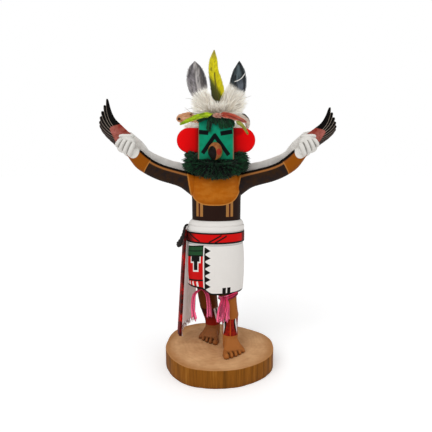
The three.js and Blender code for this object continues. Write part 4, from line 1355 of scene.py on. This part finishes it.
def slatePattern(x, z):
    rims = either(stroke(x, z, (32.6, 347), (32.8, 328), 2.0, 1.6),
                  stroke(x, z, (25.6, 366), (32.4, 347), 2.4, 1.8),
                  stroke(x, z, (15.4, 338), (24.6, 366), 2.2, 1.8))
    # the pale stroke along the middle is a painted highlight
    return paint("#222a2e", ("#3c484a", streaks(x.tree, 450, (1, 1, 0.22))),
                 ("#66757a", stroke(x, z, (25, 341), (26.4, 360), 4.6, 3) * 0.7),
                 ("#666c76", below(z, 343, 8) * above(x, 23, 6) * 0.8),
                 ("#191d21", streaks(x.tree, 380, (1, 1, 0.16), 0.57, 0.12) * 0.75),
                 ("#12161a", rims * 0.85), ("#e0dad0", above(349.4 - x * 0.62 - z, 0, 5)))


def makeTallFeathers():
    patterns = {"feather_grey": greyPattern, "feather_yellow": yellowPattern, "feather_slate": slatePattern}
    for node, size in tall.items():
        bm = feather(size["route"], lambda t: max(onCurve(size["halves"], t), 0.3), 190)
        if "stray" in size:
            barb = limb([(*point, 0.4, 0.4) for point in size["stray"]], 8, 16)
            bm = gather(bm, marked(barb, own=2))
        piece = toObject(bm, node + "Barbs", makeFeatherFinish(node + "Look", patterns[node], size["quill"]))
        finish(piece, node)


makeTallFeathers()


down = {
    "fibres": 2600, "veil": 170, "sideFibres": 520, "half": 0.34,
    # how the tips of the fan run round from the doll's right to its left, x and z
    "tips": ((-26, 305), (-28.6, 312), (-28.6, 320), (-27, 326), (-20, 331.5), (-12, 333), (-7.6, 324),
             (-4.4, 312), (2.5, 307.5), (10.6, 308.5), (13, 319), (14, 337.5), (20, 336), (26, 332),
             (33.5, 329), (35.6, 319), (33, 311), (29.5, 305)),
    "rootX": (-9, 15), "rootY": (-10, -2), "rootZ": 303.4,
    "wisps": (((20, -9, 319), (31, -11, 322), (41, -11, 325.4), 0.3),
              ((-18, -9, 313), (-27, -11, 321), (-35.5, -10, 322.6), 0.28),
              ((-20, -9, 305), (-29, -11, 306.6), (-36.5, -10, 312.6), 0.3),
              ((16, -9, 312), (27, -11, 316), (37.5, -11, 316.4), 0.26),
              ((-16, -9, 308), (-27, -12, 311), (-37, -11, 309), 0.26)),
    # soft cores inside the fan: foot and top (x, z) and half width, which varies along them
    "cores": (((-9, 303), (-18, 326), 8.6), ((1, 303), (1, 315), 7.5), ((13, 303), (21, 328), 8.8)),
    "coreRuns": ((0, 0.55), (0.3, 0.9), (0.6, 1), (0.85, 0.75), (1, 0.25)),
    "sides": {"down_right": ((-28.5, 8.5, 292.6), (11.4, 5.4, 5.8)),
              "down_left": ((27, 8.5, 292.6), (8.8, 5.0, 5.4))},
    "root": "#a8977c", "tip": "#fcf9f1", "spread": 0.42, "shade": "#7d6038", "glow": 0.18,
}


def makeDownFinish():
    material, shader, place = newFinish("whiteDown", 0.95, 0.35, 0.1)
    x, _, z = axes(place)
    along, own = layer(place.tree, "along"), layer(place.tree, "own")
    coat = useGroup("looseFibre", Root=down["root"], Tip=down["tip"], Place=place, Along=along, Own=own,
                    Spread=down["spread"])
    # painted shade, warm brown, at the foot of the fan
    shade = between(x, -11, 13, 12) * between(z, 299, 311, 9) * above(speckle(place, 0.5, 2), 0.45, 0.4)
    colour = paint(coat["Color"], (down["shade"], shade * 0.75))
    # the down glows a little: painted light that keeps it white
    feed(colour, shader.inputs["Emission Color"])
    shader.inputs["Emission Strength"].default_value = down["glow"]
    dress(shader, colour, coat["Roughness"])
    return material


def makeDown(material):
    tips, rootZ = vectors(down["tips"]), down["rootZ"]

    def route(i):
        t = random.random()
        x, z = onCurve(tips, t)
        share = 1 - 0.7 * random.random() ** 2.8
        spread = mix(*down["rootX"], clamp(t + random.gauss(0, 0.16)))
        start = Vector((spread, random.uniform(*down["rootY"]), rootZ))
        end = start.lerp(Vector((x, 0, z)), share) + scatter(0.9, 0, 1.1)
        end.y = clamp(-6 + random.gauss(0, 1) * (2.2 + 3.4 * math.sin(math.pi * share * 0.7)), -15.5, 1)
        swing = random.uniform(-1.5, 2.2) * (1 if end.x > 1 else -1)
        bend = start.lerp(end, 0.55) + scatter(0, 0.8, 0) + Vector((swing, 0, 1.6))
        return fibre(start, bend, end, down["half"] * random.uniform(0.7, 1.3), 0.35), random.random()

    def veil(i):
        # loose fibres over the foot of the yellow feather
        start = Vector((random.uniform(-6, 8), -12, rootZ + random.uniform(0, 3)))
        end = Vector((start.x * 1.3, -14, 0)) + scatter(2.2, 0.6, 0)
        end.z = random.uniform(311, 320)
        bend = start.lerp(end, 0.5) + scatter(1, 0, 0) + Vector((0, -0.6, 0))
        return fibre(start, bend, end, 0.3, 0.4), random.uniform(0, 0.9)

    fan, cover = strands(down["fibres"], 3, 6, route), strands(down["veil"], 3, 6, veil)
    wisps = strands(len(down["wisps"]), 5, 10, lambda i: (fibre(*down["wisps"][i]), -0.7))
    cores = []
    for (x0, z0), (x1, z1), wide in down["cores"]:
        rows = [(mix(x0, x1, t), -6, mix(z0, z1, t), wide * share, wide * share * 0.62)
                for t, share in down["coreRuns"]]
        cores.append(marked(limb(rows, 20, 20), own=0.35, along=0.55))
    finish(toObject(gather(fan, cover, wisps, *cores), "downTuft", material), "down_tuft")


def makeSideDown(node, at, half, material):
    def route(i):
        way, reach = somewhere(half), random.uniform(0.75, 1.1)
        start, end = Vector(at) + way * 0.3, Vector(at) + way * reach
        bend = start.lerp(end, 0.6) + scatter(0.7, 0.7, 0.7)
        return fibre(start, bend, end, 0.3, 0.4), random.random()

    core = marked(egg(at, [h * 0.8 for h in half], 20), own=0.35, along=0.6)
    fluff = strands(down["sideFibres"], 3, 4, route)
    finish(toObject(gather(fluff, core), node + "Fluff", material), node)


downFinish = makeDownFinish()
makeDown(downFinish)
for node, (at, half) in down["sides"].items():
    makeSideDown(node, at, half, downFinish)


small = {
    "feather_lime": {"look": "lime", "slot": "lime_feather", "half": 3.2, "barbs": 110,
                     "route": ((-3.5, -29.6, 302), (-20.5, -31, 298.8), (-40.6, -29, 290.6))},
    "feather_olive": {"look": "olive", "slot": "olive_feather", "half": 2.1, "barbs": 80,
                      "route": ((22, -33.4, 293.6), (29.5, -33.8, 288.6), (35.8, -31.4, 279.5))},
    "feather_rust": {"look": "rust", "slot": "rust_feather", "half": 3.6, "barbs": 110,
                     "route": ((4, -30.4, 301.8), (19, -31.4, 298.8), (34.5, -28.6, 292.8))},
    "plume_tan_right": {"look": "tan", "slot": "tan_feather", "half": 6.8, "barbs": 110, "blunt": 7,
                        "route": ((-15, 12, 299.6), (-31, 14.5, 305), (-49, 14, 302.4))},
    "plume_tan_left": {"look": "tan", "slot": "tan_feather", "half": 4.8, "barbs": 110,
                       "route": ((13, 12, 298.6), (28, 15, 306.6), (37.6, 15.5, 301.6), (39.6, 15, 291))},
    "plume_tan_back": {"look": "tan", "slot": "tan_feather", "half": 5.8, "barbs": 150,
                       "route": ((-4, 20.4, 268), (-6, 34.6, 252), (-14, 35, 228), (-30.5, 28, 193))},
}
knot = {"fibres": 420, "at": (2.4, -30.6, 300.2), "half": (6.2, 2.2, 2.9)}


def limePattern(x, z):
    return paint("#b4cf0a", ("#7c9a04", streaks(x.tree, 500, (0.3, 1, 1))))


def olivePattern(x, z):
    return paint("#7d8420", ("#a3a049", streaks(x.tree, 500, (1, 1, 0.5))))


def rustPattern(x, z):
    return paint("#c25238", ("#98301f", streaks(x.tree, 500, (0.3, 1, 1))),
                 ("#ecbca6", above(layer(x.tree, "along"), 0.7, 0.3) * 0.8),
                 ("#5f1a14", stroke(x, z, (12, 300.6), (33, 293.5), 1.1, 0.8) * 0.8))


def tanPattern(x, z):
    rim = above(x, 26, 3) * above(distance(x - 28, z - 294), 14.9, 0.7)
    return paint("#c98658", ("#e2b088", streaks(x.tree, 480, (0.5, 1, 1))), ("#ead9ca", above(x, 22, 6)),
                 ("#3a2018", oval(x, z, (-45.6, 302.6), (2.0, 1.8), 0.9)), ("#33221a", rim * 0.95))


def knotRoute(i):
    # the knot of fluff that ties the brow feathers down
    start = Vector(knot["at"])
    end = start + somewhere(knot["half"]) * random.uniform(0.7, 1.1)
    bend = start.lerp(end, 0.5) + scatter(0.6, 0.3, 0.5)
    return fibre(start, bend, end, 0.3, 0.467), random.random()


def makeSmallFeathers():
    patterns = {"tan": (tanPattern, "#8a5a3c"), "lime": (limePattern, "#b9c832"),
                "olive": (olivePattern, "#b8b070"), "rust": (rustPattern, "#6a1c14")}
    looks = {look: makeFeatherFinish(look + "Look", *given) for look, given in patterns.items()}
    for node, size in small.items():
        bm = feather(size["route"], lambda t: leafSwell(t, size["half"], size.get("blunt", 2.6)),
                     size["barbs"], face=(0, -1, 0.25), half=0.26, quill=0.35, ragged=0.07)
        if size["look"] == "rust":
            bm = gather(bm, strands(knot["fibres"], 3, 4, knotRoute))
        finish(toObject(bm, node + "Barbs", looks[size["look"]]), node)


makeSmallFeathers()


sash = {
    "turns": (-22, 52), "flare": 8.5, "thick": 3, "stand": 2.3, "oval": (35.4, 28.2),
    "top": 168.5, "low": (34, 40), "columns": 36, "rows": 60, "edge": 0.5, "threads": 90,
    "red": "#b01410", "dark": "#5e120e", "black": "#15100e", "strip": "#c00e08", "stripDark": "#6e0f0c",
    "lining": "#fffdfc", "liningShade": "#b9ada4", "liningThread": "#d9c6cb", "glow": 0.3,
    "bars": (0.12, 0.15, 0.86, 0.89, 0.965), "threadRoot": "#b89c98", "threadTip": "#ece0da",
}


def sashPlace(u, stand, z):
    # a place round the hip, u from the front edge of the sash to its back edge
    turn, (wide, deep) = math.radians(mix(*sash["turns"], u)), sash["oval"]
    return Vector((-(wide + stand) * math.cos(turn), (deep + stand) * math.sin(turn), z))


def makeSash():
    bm = bmesh.new()
    bmesh.ops.create_grid(bm, x_segments=sash["columns"], y_segments=sash["rows"], size=0.5)
    around, fall = (bm.verts.layers.float.new(label) for label in ("around", "fall"))
    for vert in bm.verts:
        u, v = vert.co.x + 0.5, 0.5 - vert.co.y
        vert[around], vert[fall] = u, v
        stand = sash["stand"] + sash["flare"] * v + 0.5 * math.sin(u * 9) * v
        vert.co = sashPlace(u, stand, mix(sash["top"], mix(*sash["low"], u), v))
    bmesh.ops.recalc_face_normals(bm, faces=bm.faces)
    if sum(face.normal.x for face in bm.faces) > 0:
        bmesh.ops.reverse_faces(bm, faces=bm.faces)
    bmesh.ops.solidify(bm, geom=bm.faces[:], thickness=-sash["thick"])
    bmesh.ops.recalc_face_normals(bm, faces=bm.faces)
    soften(bm, [e for e in bm.edges if e.calc_face_angle(0) > 1.0], sash["edge"], 2)
    piece = toObject(bm, "sideSash", makeSashFinish())
    flatten(piece, 40)
    finish(piece, "side_sash")


def makeSashFinish():
    material, shader, place = newFinish("paintedSash")
    tree, black = place.tree, sash["black"]
    around, fall = layer(tree, "around"), layer(tree, "fall")
    facing = addNode(tree, "SeparateXYZ", Vector=addNode(tree, "NewGeometry")["Normal"])["X"]
    wave = maths("FRACT", fall * 3.6 + 0.1)
    hemAt = around + fall * 0.035 - 0.16
    strip = paint(sash["strip"], (sash["stripDark"], between(wave, 0.22, 0.92, 0.14)),
                  (black, above(speckle(place, 0.22, 3), 0.5, 0.16) * 0.8),
                  (black, above(hemAt, -0.026, 0.008) * above(facing, 0.1)))
    thread = above(speckle(place, 1.3, 2, 0.5, (1, 1, 0.04)), 0.55, 0.15)
    # the lining greys towards the back: painted shade
    lining = paint(sash["lining"], (sash["liningShade"], above(around, 0.5, 0.4)),
                   (sash["liningThread"], thread * 0.6))
    bars = either(*[between(fall, low, low + 0.014, 0.004) for low in sash["bars"]])
    inward = above(facing, 0.1, 0.1) * above(hemAt, 0, 0.008)
    colour = paint(sash["red"], (sash["dark"], above(around, 0.3, 0.1)), (black, bars),
                   (strip, below(hemAt, 0, 0.01)), (lining, inward))
    # painted light: the lining glows, standing in for light thrown back from the legs
    feed(paint("#000000", (colour, inward)), shader.inputs["Emission Color"])
    shader.inputs["Emission Strength"].default_value = sash["glow"]
    brush(shader, colour, place, 0.12, 0.2, 0.5)
    return material


def makeFringe():
    # loose threads under the lining
    def route(i):
        u = random.uniform(0.1, 1)
        start = sashPlace(u, sash["stand"] + sash["flare"] - 1.4, mix(*sash["low"], u) + 1.5)
        end = start + scatter(0.7, 0.5, 0) + Vector((0.6, 0, -random.uniform(3, 6.5)))
        bend = start.lerp(end, 0.5) + scatter(0.3, 0.3, 0)
        return fibre(start, bend, end, 0.34, 0.588), random.random()

    material = makeYarnFinish("sashThreads", sash["threadRoot"], sash["threadTip"], 0.5)
    threads = strands(sash["threads"], 4, 4, route)
    finish(toObject(threads, "sashFringe", material), "side_sash")


makeSash()
makeFringe()


tieEnd = {
    "rows": ((-34.6, -9, 174.6, 1.2, 1.2), (-36.8, -13.4, 173.4, 1.4, 1.4), (-38.3, -15, 168.4, 1.5, 1.5),
             (-39.7, -15.2, 162.5, 1.8, 1.7), (-42, -15, 156.5, 2.5, 2.2), (-43.9, -15, 152, 3.6, 2.8),
             (-45, -15, 149.2, 2.6, 2.2), (-45.3, -15, 147.6, 0.8, 0.8)),
    "ply": 0.16, "turns": 5, "black": "#0f0c0b", "wearAndShade": "#2a211d",
}


def makeTieEnd():
    material, shader, place = newFinish("blackCord", 0.6, 0.0, 0.3)
    fuzz = speckle(place, 1.5, 4)
    dress(shader, paint(tieEnd["black"], (tieEnd["wearAndShade"], fuzz)), fuzz * 0.3 + 0.4, fuzz, 0.15)
    cord = limb(tieEnd["rows"], 24, 60, ply=tieEnd["ply"], turns=tieEnd["turns"])
    finish(toObject(cord, "beltTieEnd", material), "belt_tie_end")


makeTieEnd()


ties = {
    "radius": 11.6, "windings": 3, "half": 0.72, "loopHalf": 0.85, "high": 6, "perBundle": 13,
    "root": "#c21146", "tip": "#f6709a", "spread": 1.25,
    "leg_tie_left": {"middle": (15, -11.4), "z": 87.5, "tilt": 0.28, "bundles": (
        ((9, -22.5, 88.5), (6, -26.5, 81), (3.8, -27.2, 70), (3, -27, 60)),
        ((11, -23.6, 88.5), (9.5, -28.4, 80), (8.2, -29.4, 70), (7.8, -29, 60)),
        ((12.5, -24.4, 88.5), (15, -29, 80), (14.8, -29.8, 70), (13.2, -29, 61)))},
    "leg_tie_right": {"middle": (-13.2, 9.6), "z": 91.5, "tilt": -0.22, "bundles": (
        ((-17, -2.6, 93), (-27.4, -5.5, 85.5), (-29.6, -6.4, 70), (-28, -6.6, 53)),
        ((-21, -2.6, 93), (-11.6, -7, 87.6), (-8.6, -8.2, 74), (-8.0, -8, 57)))},
}


def makeTie(node, material):
    size = ties[node]
    cx, cy = size["middle"]

    def hanging(i):
        bundle = size["bundles"][i // ties["perBundle"]]
        shift = scatter(1.05, 0.8, 0)
        half = ties["half"] * random.uniform(0.7, 1.05)
        knots = []
        for n, point in enumerate(bundle):
            at = Vector(point) + shift * min(n, 1.3) + scatter(0.3, 0.3, 0) * n
            if n == len(bundle) - 1:
                at.z += random.uniform(-3, 5)
            knots.append((*at, half, half))
        return knots, random.random()

    def winding(i):
        z = size["z"] + ties["high"] * ((i + 0.5) / ties["windings"] - 0.5)
        knots = []
        for n in range(17):
            turn = math.tau * n / 16 - math.pi / 2
            radius = ties["radius"] + 0.35 * math.sin(3 * turn + i)
            x, y = radius * math.cos(turn), radius * math.sin(turn)
            rise = size["tilt"] * x + 0.5 * math.sin(2 * turn + i * 2)
            knots.append((cx + x, cy + y, z + rise, ties["loopHalf"], ties["loopHalf"]))
        return knots, random.random()

    tails = strands(len(size["bundles"]) * ties["perBundle"], 8, 26, hanging, ply=0.2, turns=6)
    loops = strands(ties["windings"], 8, 96, winding, ply=0.16, turns=22)
    finish(toObject(gather(tails, loops), node + "Yarn", material), node)


tieFinish = makeYarnFinish("pinkYarn", ties["root"], ties["tip"], ties["spread"])
for node in ("leg_tie_left", "leg_tie_right"):
    makeTie(node, tieFinish)


def makeFloor():
    bm = bmesh.new()
    bmesh.ops.create_grid(bm, x_segments=4, y_segments=4, size=room["floorSize"] / 2 / mm)
    material, shader, place = newFinish("palePaper", 0.9, 0.0, 0.1, Vector())
    dress(shader, paint(room["floorDark"], (room["floorLight"], speckle(place, 0.003, 2))))
    seen = addNode(place.tree, "LightPath")["Is Camera Ray"]
    feed(seen * room["floorGlow"], shader.inputs["Emission Strength"])
    floor = toObject(bm, "paleFloor", material, Vector())


makeFloor()
